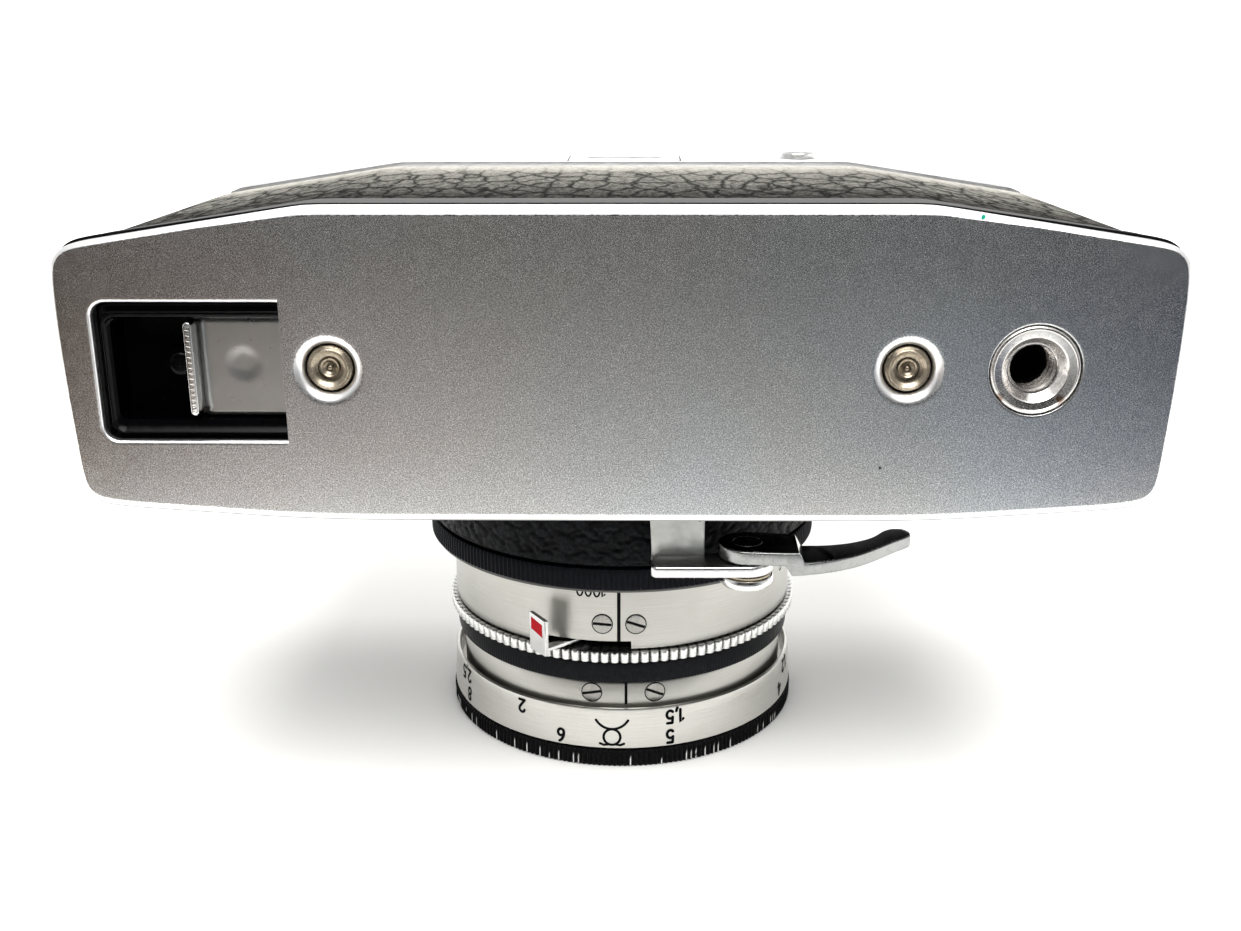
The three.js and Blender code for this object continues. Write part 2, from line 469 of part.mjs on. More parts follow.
// ---------------------------------------------------------------- lens mount drum and wind lever
{
  const g = group();
  const L = (p, n = 40) => turned("z", 0, LENS_Y, p, n);
  add("mount_drum", L([[24.7, 32.4], [28.8, 32.4], [28.8, 43.8], [24.7, 43.8]]), "casting", g);
  add("drum_leather", L([[29.15, 32.35], [DRUM_R, 32.35], [DRUM_R, 43.0], [29.15, 43.0]]), "leather", g);
  add("shutter_block", L([[15, 34.5], [24.3, 34.5], [24.3, 38.6], [15, 38.6]], 40), "black_ring", g);

  // strap that hangs from the body in front of the drum and turns out into a flange
  const [px, py] = PIVOT, zt = 34.7, zb = 33.0;
  const strap = box(4.0, 11.5, -37.4, -36.5, zb, 43.8);
  const flangePts = [[4.2, -36.5], [4.2, -41.3], [px, -41.2]];
  for (let i = 0; i <= 10; i++) {
    const a = -Math.PI / 2 + (i * Math.PI) / 10;
    flangePts.push([px + 3.6 * Math.cos(a), py + 3.6 * Math.sin(a)]);
  }
  flangePts.push([11.5, -34.0 - 2.4]);
  const flange = cut(sheetZ(flangePts, zb, zt), bar("z", px, py, 1.75, 30, 40, 24));
  add("lever_bracket", union(strap, flange), "polished_chrome", g);
  add("lever_screw", union(bar("z", px, py, 3.65, 31.0, 32.5, 28), bar("z", px, py, 1.4, 32.4, 37.6, 20)), "polished_chrome", g);
  add("lever_washer", tube("z", px, py, 1.75, 3.3, 32.55, 32.9, 24), "nickel", g);

  const z1 = 36.9, z0 = z1 - 1.9, f1 = 35.5, f0 = 33.7;
  const hub = [];
  for (let i = 0; i <= 12; i++) {
    const a = Math.PI / 2 + (i * Math.PI) / 12;
    hub.push([px + 3.9 * Math.cos(a), py + 3.9 * Math.sin(a)]);
  }
  // inner part, then the joggle, then the curved finger
  const innerPart = sheetZ([...hub, [23.6, -42.0], [23.9, -34.6], [px + 2, -33.7]], z0, z1);
  const joggle = sheetZ([[22.4, -41.8], [24.6, -41.6], [24.9, -35.0], [22.6, -34.8]], f0, z1);
  const finger = sheetZ(
    [[23.0, -41.6], [27, -41.0], [29.6, -39.95], [32.3, -38.2], [35.1, -35.65], [38.2, -32.5], [39.8, -30.95], [40.3, -29.9],
      [40.1, -28.9], [39.4, -28.2], [38.5, -28.05], [37.1, -28.95], [35.2, -31.0], [33.1, -32.8], [30.4, -34.25], [27.8, -34.85], [25, -35.1], [23.0, -35.1]],
    f0, f1,
  );
  add("wind_lever", cut(union(innerPart, joggle, finger), bar("z", px, py, 1.75, 30, 40, 24)), "polished_chrome", g);
}

// ---------------------------------------------------------------- lens
{
  const g = group();
  const L = (p, n = 40) => turned("z", 0, LENS_Y, p, n);
  const R = RINGS;
  add("lock_ring", L([[26.1, R.lock.z0], [R.lock.r - 0.1, R.lock.z0], [R.lock.r, R.lock.z1], [26.1, R.lock.z1]]), "black_ring", g);
  let barrel = L([[18, 6.0], [22.3, 6.0], [22.3, R.barrel.z0], [R.barrel.r1, R.barrel.z0], [R.barrel.r0, R.barrel.z1], [25.5, R.barrel.z1],
    [25.5, 31.9], [24.1, 31.9], [24.1, 34.0], [18, 34.0]]);
  // slot for the flash-timing lever: 26.5 degrees left of the front to 4 degrees right of it
  const wedge = [];
  for (const [r, a] of [[22.4, -26.5], [22.4, 4.2], [30, 4.2], [30, -26.5]])
    wedge.push([r * Math.sin((a * Math.PI) / 180), LENS_Y - r * Math.cos((a * Math.PI) / 180)]);
  barrel = cut(barrel, sheetZ(wedge, R.barrel.z0 - 1, R.barrel.z0 + 1.2));
  for (const a of BARREL_SCREWS) {
    // seats of the two small screws
    const seat = new THREE.CylinderGeometry(1.55, 1.55, 3, 16).translate(0, -26.4 + 0.4, 0);
    seat.rotateZ((a * Math.PI) / 180).translate(0, LENS_Y, BARREL_SCREW_Z);
    barrel = cut(barrel, solid(seat));
  }
  add("lens_barrel", barrel, "satin_silver", g);
  const small = (r, z, a) => {
    const s = new THREE.CylinderGeometry(1.25, 1.25, 0.9, 16).translate(0, -r + 0.3, 0);
    s.rotateZ((a * Math.PI) / 180).translate(0, LENS_Y, z);
    return solid(s);
  };
  add("barrel_screw_left", small(26.4, BARREL_SCREW_Z, BARREL_SCREWS[0]), "steel", g);
  add("barrel_screw_right", small(26.4, BARREL_SCREW_Z, BARREL_SCREWS[1]), "steel", g);

  // flash-timing lever: an arm out of the slot and a flag bent up at its end
  const arm = sheetZ([[-4.7, -29.9], [-5.8, -28.8], [-11.9, -33.9], [-11.0, -35.0]], ARM_Z, ARM_Z + 0.55);
  const flag = sheetZ([[-10.05, -35.15], [-12.5, -33.0], [-12.9, -33.45], [-10.45, -35.6]], ARM_Z, FLAG_TOP_Z);
  add("sync_lever", union(arm, flag), "steel", g);

  add("aperture_ring", L([[22.8, R.aperture.z0], [R.aperture.r, R.aperture.z0], [R.aperture.r, R.aperture.z1], [22.8, R.aperture.z1]]), "polished_chrome", g);
  add("depth_band", L([[22.8, R.depth.z0], [R.depth.r, R.depth.z0], [R.depth.r, R.depth.z1], [22.8, R.depth.z1]]), "black_ring", g);
  let index = L([[22.7, R.index.z0], [R.index.r, R.index.z0], [R.index.r, R.index.z1], [22.7, R.index.z1]]);
  for (const a of INDEX_SCREWS) {
    const seat = new THREE.CylinderGeometry(1.65, 1.65, 3, 16).translate(0, -25.4 + 0.5, 0);
    seat.rotateZ((a * Math.PI) / 180).translate(0, LENS_Y, INDEX_SCREW_Z);
    index = cut(index, solid(seat));
  }
  add("index_ring", index, "satin_silver", g);
  add("index_screw_left", small(25.2, INDEX_SCREW_Z, INDEX_SCREWS[0]), "steel", g);
  add("index_screw_right", small(25.2, INDEX_SCREW_Z, INDEX_SCREWS[1]), "steel", g);

  const F = R.focus;
  add("focus_ring", L([[18.8, F.z0], [F.r0, F.z0], [F.r1, F.z1], [26.25, F.z1], [26.25, 5.6], [18.8, 5.6]]), "satin_silver", g);
  add("focus_grip", L([[24.0, 0], [R.grip.r, 0], [R.grip.r, R.grip.z1], [24.0, R.grip.z1]]), "black_ring", g);
  add("lens_cell", L([[14.6, 3.2], [17.6, 3.2], [17.6, 30], [11.9, 30], [11.9, 23.6], [13.2, 21], [13.2, 9.2], [14.6, 9.2]], 40), "black_ring", g);
  add("front_bezel", L([[14.8, 1.6], [18.3, 1.3], [18.3, 2.3], [17.4, 2.9], [14.8, 2.9]], 40), "black_ring", g);
  add("front_lens", turned("z", 0, LENS_Y, [[0, 3.0], [7, 3.4], [14.3, 5.0], [14.3, 8.9], [8, 7.6], [0, 7.2]], 32, false), "glass", g);
  add("rear_lens", turned("z", 0, LENS_Y, [[0, 24.4], [11.5, 25.0], [11.5, 27.6], [6, 29.0], [0, 29.4]], 28, false), "glass", g);
}

export default root;
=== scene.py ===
import json
import math
import random

import bmesh
import bpy
import numpy as np
from mathutils import Matrix, Vector
from mathutils.geometry import delaunay_2d_cdt

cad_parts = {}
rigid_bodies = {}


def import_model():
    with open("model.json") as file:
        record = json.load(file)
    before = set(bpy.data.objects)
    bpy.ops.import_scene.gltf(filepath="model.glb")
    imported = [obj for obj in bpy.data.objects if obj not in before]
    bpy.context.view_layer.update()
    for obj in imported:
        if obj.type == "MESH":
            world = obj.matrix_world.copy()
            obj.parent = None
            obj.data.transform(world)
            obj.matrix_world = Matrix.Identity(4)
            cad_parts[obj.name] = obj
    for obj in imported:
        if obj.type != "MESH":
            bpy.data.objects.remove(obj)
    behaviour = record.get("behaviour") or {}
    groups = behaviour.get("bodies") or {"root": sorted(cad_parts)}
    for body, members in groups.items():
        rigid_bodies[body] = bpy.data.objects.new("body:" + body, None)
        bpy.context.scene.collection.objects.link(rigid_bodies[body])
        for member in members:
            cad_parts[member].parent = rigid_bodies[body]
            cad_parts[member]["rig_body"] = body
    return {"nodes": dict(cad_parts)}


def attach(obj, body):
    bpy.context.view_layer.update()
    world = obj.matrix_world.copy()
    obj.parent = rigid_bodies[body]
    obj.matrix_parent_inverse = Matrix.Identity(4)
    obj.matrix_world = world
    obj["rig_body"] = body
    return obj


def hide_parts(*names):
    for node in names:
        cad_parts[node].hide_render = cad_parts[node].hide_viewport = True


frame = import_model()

for _o in [o for o in bpy.data.objects if o.name in ("Cube", "Light", "Camera")]:
    bpy.data.objects.remove(_o)
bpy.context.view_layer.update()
NODES = frame["nodes"]
MM = 0.001
LENS_Y = -6.0
RNG = random.Random(7)
TAU = 2 * math.pi


# ------------------------------------------------------------------ camera
def place_camera():
    cam = bpy.data.cameras.new("main_camera")
    obj = bpy.data.objects.new("main_camera", cam)
    bpy.context.scene.collection.objects.link(obj)
    pitch, roll, yaw = 0.30761599, -0.00160327, -0.01405971
    fwd = Vector((math.sin(yaw) * math.cos(pitch), math.cos(yaw) * math.cos(pitch), -math.sin(pitch)))
    right = Vector((math.cos(yaw), -math.sin(yaw), 0))
    up = right.cross(fwd)
    r2 = math.cos(roll) * right + math.sin(roll) * up
    u2 = -math.sin(roll) * right + math.cos(roll) * up
    m = Matrix((r2, u2, -fwd)).transposed().to_4x4()
    m.translation = Vector((2.516, -201.7495, 99.742)) * MM
    obj.matrix_world = m
    cam.sensor_fit = "HORIZONTAL"
    cam.sensor_width = 36.0
    cam.lens = 37.868
    cam.clip_start = 0.005
    cam.clip_end = 50
    bpy.context.scene.camera = obj


place_camera()


# ------------------------------------------------------------------ materials
def new_mat(name, **values):
    m = bpy.data.materials.new(name)
    m.use_nodes = True
    t = m.node_tree
    t.nodes.clear()
    out = t.nodes.new("ShaderNodeOutputMaterial")
    b = t.nodes.new("ShaderNodeBsdfPrincipled")
    t.links.new(b.outputs["BSDF"], out.inputs["Surface"])
    for k, v in values.items():
        s = b.inputs[k.replace("_", " ")]
        s.default_value = (*v, 1.0) if isinstance(v, tuple) and len(v) == 3 else v
    return m, t, b


def N(t, kind, ins=None, **props):
    n = t.nodes.new(kind)
    for k, v in props.items():
        setattr(n, k, v)
    for k, v in (ins or {}).items():
        s = n.inputs[k]
        if isinstance(v, bpy.types.NodeSocket):
            t.links.new(v, s)
        else:
            s.default_value = v
    return n


def pos_mm(t, scale=(1, 1, 1)):
    c = N(t, "ShaderNodeTexCoord")
    return N(t, "ShaderNodeVectorMath", {0: c.outputs["Object"], 1: tuple(1000.0 * s for s in scale)}, operation="MULTIPLY").outputs[0]


def uv_mm(t, scale=(1, 1)):
    c = N(t, "ShaderNodeTexCoord")
    return N(t, "ShaderNodeVectorMath", {0: c.outputs["UV"], 1: (scale[0], scale[1], 1.0)}, operation="MULTIPLY").outputs[0]


def noise(t, vec, scale, detail=2.0, rough=0.5, out="Fac"):
    return N(t, "ShaderNodeTexNoise", {"Vector": vec, "Scale": scale, "Detail": detail, "Roughness": rough}).outputs[out]


def ramp(t, fac, stops, interp="LINEAR"):
    r = N(t, "ShaderNodeValToRGB", {"Fac": fac})
    r.color_ramp.interpolation = interp
    els = r.color_ramp.elements
    while len(els) < len(stops):
        els.new(0.5)
    for e, (p, c) in zip(els, stops):
        e.position = p
        e.color = (*c, 1.0) if isinstance(c, tuple) else (c, c, c, 1.0)
    return r.outputs["Color"]


def mth(t, op, a, b=0.0, clamp=False):
    return N(t, "ShaderNodeMath", {0: a, 1: b}, operation=op, use_clamp=clamp).outputs[0]


def remap(t, v, a, b, c, d, clamp=True):
    return N(t, "ShaderNodeMapRange", {"Value": v, "From Min": a, "From Max": b, "To Min": c, "To Max": d}, clamp=clamp).outputs[0]


def mixc(t, fac, a, b, mode="MIX"):
    n = N(t, "ShaderNodeMix", data_type="RGBA", blend_type=mode)
    for idx, v in ((0, fac), (6, a), (7, b)):
        s = n.inputs[idx]
        if isinstance(v, bpy.types.NodeSocket):
            t.links.new(v, s)
        else:
            s.default_value = (*v, 1.0) if isinstance(v, tuple) else v
    return n.outputs[2]


def bump(t, b, height, strength, dist_mm):
    n = N(t, "ShaderNodeBump", {"Height": height, "Strength": strength, "Distance": dist_mm * MM})
    t.links.new(n.outputs[0], b.inputs["Normal"])
    return n


def attr(t, name):
    return N(t, "ShaderNodeAttribute", attribute_name=name).outputs["Fac"]


def mat_satin_chrome():
    """Bead-blasted chrome: fine bright and dark specks, soft blotches, polished rims by the 'rim' attribute."""
    m, t, b = new_mat("satin_chrome_grain", Metallic=1.0)
    p = pos_mm(t)
    fine = noise(t, p, 6.2, 3.0, 0.75)
    mid = noise(t, p, 1.1, 3.0, 0.55)
    big = noise(t, p, 0.035, 2.0, 0.5)
    grain = ramp(t, fine, [(0.34, (0.25, 0.25, 0.25)), (0.50, (0.53, 0.53, 0.525)), (0.65, (0.92, 0.92, 0.915))])
    soft = mixc(t, remap(t, mid, 0.35, 0.65, 0.0, 0.14), grain, (0.50, 0.50, 0.50))
    tint = mixc(t, remap(t, big, 0.35, 0.65, 0.0, 1.0), (1.0, 0.985, 0.96), (0.965, 0.985, 1.0))
    col = mixc(t, 1.0, soft, tint, "MULTIPLY")
    # noisy edge between the blasted face and the worn, polished rim
    rim = attr(t, "rim")
    edge = mth(t, "ADD", rim, mth(t, "MULTIPLY", mth(t, "SUBTRACT", noise(t, p, 2.6, 2.0, 0.6), 0.5), 0.75))
    rimf = remap(t, edge, 0.42, 0.60, 0.0, 1.0)
    col = mixc(t, rimf, col, (0.93, 0.925, 0.915))
    # painted shade: a grey line along the plate's side and bottom edges, from the outline attribute
    col = mixc(t, attr(t, "outline"), col, (0.26, 0.26, 0.26))
    t.links.new(col, b.inputs["Base Color"])
    r0 = remap(t, noise(t, p, 0.9, 4.0, 0.6), 0.3, 0.7, 0.21, 0.27)
    rough = N(t, "ShaderNodeMix", {0: rimf, 2: r0, 3: 0.32}, data_type="FLOAT").outputs[0]
    t.links.new(rough, b.inputs["Roughness"])
    bump(t, b, mixc(t, rimf, fine, (0.5, 0.5, 0.5)), 0.30, 0.010)
    return m


def mat_polished(name="polished_chrome_wear", base=(0.84, 0.84, 0.835), rough=0.11, wear=0.35, spots=True):
    m, t, b = new_mat(name, Metallic=1.0)
    p = pos_mm(t)
    w = noise(t, p, 0.7, 5.0, 0.65)
    fine = noise(t, p, 7.0, 2.0, 0.6)
    col = mixc(t, remap(t, w, 0.40, 0.75, 0.0, wear), base, tuple(c * 0.62 for c in base))
    if spots:
        sp = N(t, "ShaderNodeTexVoronoi", {"Vector": p, "Scale": 0.42, "Randomness": 1.0}).outputs["Distance"]
        col = mixc(t, remap(t, sp, 0.035, 0.075, 0.75, 0.0), col, (0.10, 0.085, 0.07))
    t.links.new(col, b.inputs["Base Color"])
    r = mth(t, "ADD", remap(t, w, 0.35, 0.75, rough, rough + 0.16), remap(t, fine, 0.4, 0.7, 0.0, 0.05))
    t.links.new(r, b.inputs["Roughness"])
    scr = noise(t, pos_mm(t, (0.5, 0.5, 6.0)), 1.2, 3.0, 0.6)
    bump(t, b, mth(t, "ADD", fine, mth(t, "MULTIPLY", scr, 0.6)), 0.12, 0.02)
    return m


def mat_turned(name, base=(0.80, 0.785, 0.745), rough=0.30, line=16.0, depth=0.10, painted_groove_shade=False):
    """Turned and satin-plated metal: fine rings round the axis, from the piece's UV; optionally painted shade in a
    knurl's valleys.
    """
    m, t, b = new_mat(name, Metallic=1.0)
    u = uv_mm(t, (0.10, line))
    rings = noise(t, u, 1.0, 3.0, 0.6)
    u2 = uv_mm(t, (0.30, 2.0))
    broad = noise(t, u2, 1.0, 3.0, 0.55)
    p = pos_mm(t)
    stain = noise(t, p, 0.16, 4.0, 0.6)
    dark = tuple(c * 0.86 for c in base)
    col = mixc(t, remap(t, rings, 0.35, 0.68, 0.0, 0.9), base, dark)
    col = mixc(t, remap(t, stain, 0.50, 0.80, 0.0, 0.35), col, tuple(c * k for c, k in zip(base, (0.80, 0.78, 0.74))))
    # painted shade: the knurl's valleys darkened in the colour
    if painted_groove_shade:
        col = mixc(t, attr(t, "painted_groove_shade"), col, tuple(c * 0.22 for c in base))
    t.links.new(col, b.inputs["Base Color"])
    t.links.new(mth(t, "ADD", remap(t, rings, 0.3, 0.7, rough - 0.03, rough + 0.07), remap(t, broad, 0.3, 0.7, -0.02, 0.03)), b.inputs["Roughness"])
    bump(t, b, rings, depth, 0.02)
    return m


def mat_black_ring(name="black_anodised", base=(0.008, 0.009, 0.012), rough=0.34, wear=True):
    m, t, b = new_mat(name, Metallic=0.0)
    b.inputs["Specular IOR Level"].default_value = 0.055
    p = pos_mm(t)
    n1 = noise(t, p, 1.4, 4.0, 0.6)
    n2 = noise(t, p, 9.0, 2.0, 0.6)
    col = mixc(t, remap(t, n1, 0.35, 0.7, 0.0, 0.8), base, tuple(c * 1.9 for c in base))
    # the wear attribute paints rib crests white: wear with painted glints
    if wear:
        col = mixc(t, attr(t, "wear"), col, (0.95, 0.94, 0.92))
    t.links.new(col, b.inputs["Base Color"])
    t.links.new(mth(t, "ADD", remap(t, n1, 0.3, 0.7, rough - 0.05, rough + 0.10), remap(t, n2, 0.3, 0.7, -0.02, 0.04)), b.inputs["Roughness"])
    bump(t, b, n2, 0.10, 0.02)
    return m


def mat_leather(name="coarse_black_leather", mode="object", cell=0.42, stretch=(1, 1, 1), base=(0.011, 0.012, 0.014), lift=(0.030, 0.031, 0.032), strength=1.0, spec=0.22, painted_sheen=None, dull=0.0):
    """Coarse pressed grain: two sizes of creased plates with fine wrinkles between."""
    m, t, b = new_mat(name, Metallic=0.0)
    p = pos_mm(t, stretch) if mode == "object" else uv_mm(t, (stretch[0], stretch[1]))
    warp = N(t, "ShaderNodeTexNoise", {"Vector": p, "Scale": 0.55, "Detail": 3.0, "Roughness": 0.6}).outputs["Color"]
    wv = N(t, "ShaderNodeVectorMath", {0: warp, 1: (2.2, 2.2, 2.2)}, operation="MULTIPLY").outputs[0]
    q = N(t, "ShaderNodeVectorMath", {0: p, 1: wv}, operation="ADD").outputs[0]
    big = N(t, "ShaderNodeTexVoronoi", {"Vector": q, "Scale": cell, "Randomness": 0.95}, feature="DISTANCE_TO_EDGE").outputs["Distance"]
    small = N(t, "ShaderNodeTexVoronoi", {"Vector": q, "Scale": cell * 2.7, "Randomness": 1.0}, feature="DISTANCE_TO_EDGE").outputs["Distance"]
    fold = noise(t, q, 2.4, 4.0, 0.62)
    fine = noise(t, p, 7.5, 3.0, 0.6)
    hb = remap(t, big, 0.0, 0.13, 0.0, 1.0)
    hs = remap(t, small, 0.0, 0.16, 0.0, 1.0)
    crease = mth(t, "MULTIPLY", hb, mth(t, "ADD", mth(t, "MULTIPLY", hs, 0.40), 0.60))
    # painted shade: the creases darkened to a fifth of the base colour
    col = mixc(t, crease, tuple(c * 0.18 for c in base), base)
    col = mixc(t, mth(t, "MULTIPLY", remap(t, fold, 0.45, 0.75, 0.0, 0.8), hb), col, lift)
    if painted_sheen:
        # painted sheen: the grain paler towards the camera's top edge, as grazing reflection, and washed to pale grey
        # beyond the edge line
        y = N(t, "ShaderNodeSeparateXYZ", {0: pos_mm(t)}).outputs["Y"]
        edge = mth(t, "ADD", y, mth(t, "MULTIPLY", mth(t, "SUBTRACT", fold, 0.5), 16.0))
        wrinkle = remap(t, noise(t, q, 1.0, 5.0, 0.72), 0.40, 0.56, 0.25, 1.0)
        wrinkle = mth(t, "MAXIMUM", wrinkle, remap(t, edge, -26.0, 2.0, 0.0, 1.0))
        sheen_mask = mth(t, "MULTIPLY", wrinkle, mth(t, "ADD", mth(t, "MULTIPLY", crease, 0.92), 0.08))
        col = mixc(t, mth(t, "MULTIPLY", remap(t, edge, painted_sheen[0], painted_sheen[1], 0.22, 1.0), sheen_mask), col, painted_sheen[2])
        col = mixc(t, remap(t, edge, 2.0, 16.0, 0.0, 0.85), col, (0.50, 0.48, 0.43))
    t.links.new(col, b.inputs["Base Color"])
    t.links.new(remap(t, fold, 0.3, 0.7, 0.62 + dull, 0.42 + dull), b.inputs["Roughness"])
    b.inputs["Specular IOR Level"].default_value = spec
    h = mth(t, "ADD", mth(t, "MULTIPLY", crease, 1.0), mth(t, "ADD", mth(t, "MULTIPLY", fold, 0.55), mth(t, "MULTIPLY", fine, 0.10)))
    bump(t, b, h, strength, 0.22)
    return m


def mat_drum_leather():
    """Black leather whose creases follow the modelled ones and are painted near black as shade, with a cool sheen on
    the plates.
    """
    m, t, b = new_mat("coarse_leather_drum", Metallic=0.0)
    p = pos_mm(t)
    fold = noise(t, p, 1.6, 4.0, 0.62)
    fine = noise(t, p, 6.5, 3.0, 0.6)
    col = mixc(t, remap(t, fold, 0.42, 0.72, 0.0, 1.0), (0.0010, 0.0014, 0.0020), (0.0095, 0.0115, 0.0140))
    # painted shade: the creases darkened to near black
    col = mixc(t, attr(t, "crease"), col, (0.0006, 0.0007, 0.0008))
    t.links.new(col, b.inputs["Base Color"])
    t.links.new(remap(t, fold, 0.3, 0.7, 0.55, 0.36), b.inputs["Roughness"])
    b.inputs["Specular IOR Level"].default_value = 0.09
    bump(t, b, mth(t, "ADD", mth(t, "MULTIPLY", fold, 0.8), mth(t, "MULTIPLY", fine, 0.25)), 0.8, 0.16)
    return m


def mat_gloss_black(name="gloss_black_moulding", base=(0.0010, 0.0010, 0.0013), rough=0.12, spec=0.10):
    m, t, b = new_mat(name, Metallic=0.0)
    b.inputs["Specular IOR Level"].default_value = spec
    p = pos_mm(t)
    n1 = noise(t, p, 0.9, 5.0, 0.65)
    dust = N(t, "ShaderNodeTexVoronoi", {"Vector": p, "Scale": 0.55, "Randomness": 1.0}).outputs["Distance"]
    col = mixc(t, remap(t, dust, 0.03, 0.05, 0.12, 0.0), base, (0.10, 0.10, 0.095))
    t.links.new(col, b.inputs["Base Color"])
    t.links.new(remap(t, n1, 0.35, 0.7, rough, rough + 0.14), b.inputs["Roughness"])
    bump(t, b, n1, 0.10, 0.05)
    return m


def mat_steel(name="bare_steel_worn", base=(0.50, 0.495, 0.48), rough=0.28, stretch=(1, 1, 8), grain=1.0):
    m, t, b = new_mat(name, Metallic=1.0)
    p = pos_mm(t)
    s = noise(t, pos_mm(t, stretch), 0.6, 4.0, 0.65)
    w = noise(t, p, 0.5, 5.0, 0.6)
    col = mixc(t, remap(t, s, 0.35, 0.7, 0.0, 0.8 * grain), base, tuple(c * 0.74 for c in base))
    col = mixc(t, remap(t, w, 0.48, 0.80, 0.0, 0.5 * grain), col, tuple(c * 0.60 for c in base))
    t.links.new(col, b.inputs["Base Color"])
    t.links.new(remap(t, w, 0.3, 0.75, rough, rough + 0.18 * grain), b.inputs["Roughness"])
    bump(t, b, s, 0.12 * grain, 0.03 * grain)
    return m


def mat_nickel():
    m, t, b = new_mat("nickel_turned", Metallic=1.0)
    p = pos_mm(t)
    n1 = noise(t, p, 3.0, 4.0, 0.6)
    n2 = noise(t, p, 0.9, 3.0, 0.6)
    col = mixc(t, remap(t, n1, 0.35, 0.7, 0.0, 0.9), (0.40, 0.345, 0.265), (0.24, 0.205, 0.155))
    col = mixc(t, remap(t, n2, 0.5, 0.75, 0.0, 0.6), col, (0.24, 0.19, 0.14))
    t.links.new(col, b.inputs["Base Color"])
    t.links.new(remap(t, n1, 0.3, 0.7, 0.24, 0.36), b.inputs["Roughness"])
    bump(t, b, n1, 0.12, 0.02)
    return m


def mat_bush():
    """Machined steel collar, with two rust specks at its lower edge."""
    m, t, b = new_mat("machined_collar", Metallic=1.0)
    p = pos_mm(t)
    n1 = noise(t, p, 2.2, 4.0, 0.6)
    col = mixc(t, remap(t, n1, 0.35, 0.72, 0.0, 0.8), (0.80, 0.775, 0.745), (0.56, 0.53, 0.50))
    for x, z in ((46.75, 59.0), (54.2, 58.9)):
        d = N(t, "ShaderNodeVectorMath", {0: p, 1: (x, -45.9, z)}, operation="DISTANCE").outputs["Value"]
        d = mth(t, "ADD", d, mth(t, "MULTIPLY", mth(t, "SUBTRACT", noise(t, p, 3.2, 3.0, 0.6), 0.5), 1.2))
        col = mixc(t, remap(t, d, 0.30, 0.75, 0.85, 0.0), col, (0.16, 0.075, 0.03))
    t.links.new(col, b.inputs["Base Color"])
    t.links.new(remap(t, n1, 0.3, 0.7, 0.16, 0.30), b.inputs["Roughness"])
    bump(t, b, n1, 0.10, 0.02)
    return m


def mat_casting():
    m, t, b = new_mat("black_casting", Metallic=0.0)
    b.inputs["Specular IOR Level"].default_value = 0.2
    p = pos_mm(t)
    n1 = noise(t, p, 1.6, 5.0, 0.65)
    col = mixc(t, remap(t, n1, 0.3, 0.7, 0.0, 1.0), (0.014, 0.014, 0.015), (0.030, 0.030, 0.031))
    t.links.new(col, b.inputs["Base Color"])
    t.links.new(remap(t, n1, 0.3, 0.7, 0.42, 0.60), b.inputs["Roughness"])
    bump(t, b, n1, 0.35, 0.06)
    return m


def mat_paint(name, colour, rough=0.38):
    m, t, b = new_mat(name, Metallic=0.0)
    b.inputs["Specular IOR Level"].default_value = 0.05
    p = pos_mm(t)
    n1 = noise(t, p, 2.4, 4.0, 0.6)
    col = mixc(t, remap(t, n1, 0.4, 0.75, 0.0, 0.5), colour, tuple(c * 0.72 for c in colour))
    t.links.new(col, b.inputs["Base Color"])
    t.links.new(remap(t, n1, 0.3, 0.7, rough - 0.06, rough + 0.10), b.inputs["Roughness"])
    bump(t, b, n1, 0.08, 0.02)
    return m


def mat_glass(name="coated_glass", tint=(0.92, 0.95, 1.0), trans=1.0):
    m, t, b = new_mat(name, Metallic=0.0, IOR=1.52)
    p = pos_mm(t)
    n1 = noise(t, p, 0.35, 3.0, 0.6)
    col = mixc(t, remap(t, n1, 0.35, 0.65, 0.0, 1.0), tint, tuple(c * k for c, k in zip(tint, (0.90, 0.86, 0.98))))
    t.links.new(col, b.inputs["Base Color"])
    b.inputs["Transmission Weight"].default_value = trans
    t.links.new(remap(t, noise(t, p, 1.5, 4.0, 0.6), 0.4, 0.75, 0.02, 0.07), b.inputs["Roughness"])
    b.inputs["Coat Weight"].default_value = 0.6
    b.inputs["Coat Roughness"].default_value = 0.04
    return m


def mat_mirror():
    m, t, b = new_mat("front_surface_mirror", Metallic=1.0)
    p = pos_mm(t)
    n1 = noise(t, p, 0.5, 4.0, 0.6)
    t.links.new(mixc(t, remap(t, n1, 0.4, 0.7, 0.0, 0.4), (0.90, 0.91, 0.92), (0.80, 0.82, 0.84)), b.inputs["Base Color"])
    t.links.new(remap(t, n1, 0.4, 0.75, 0.02, 0.08), b.inputs["Roughness"])
    return m


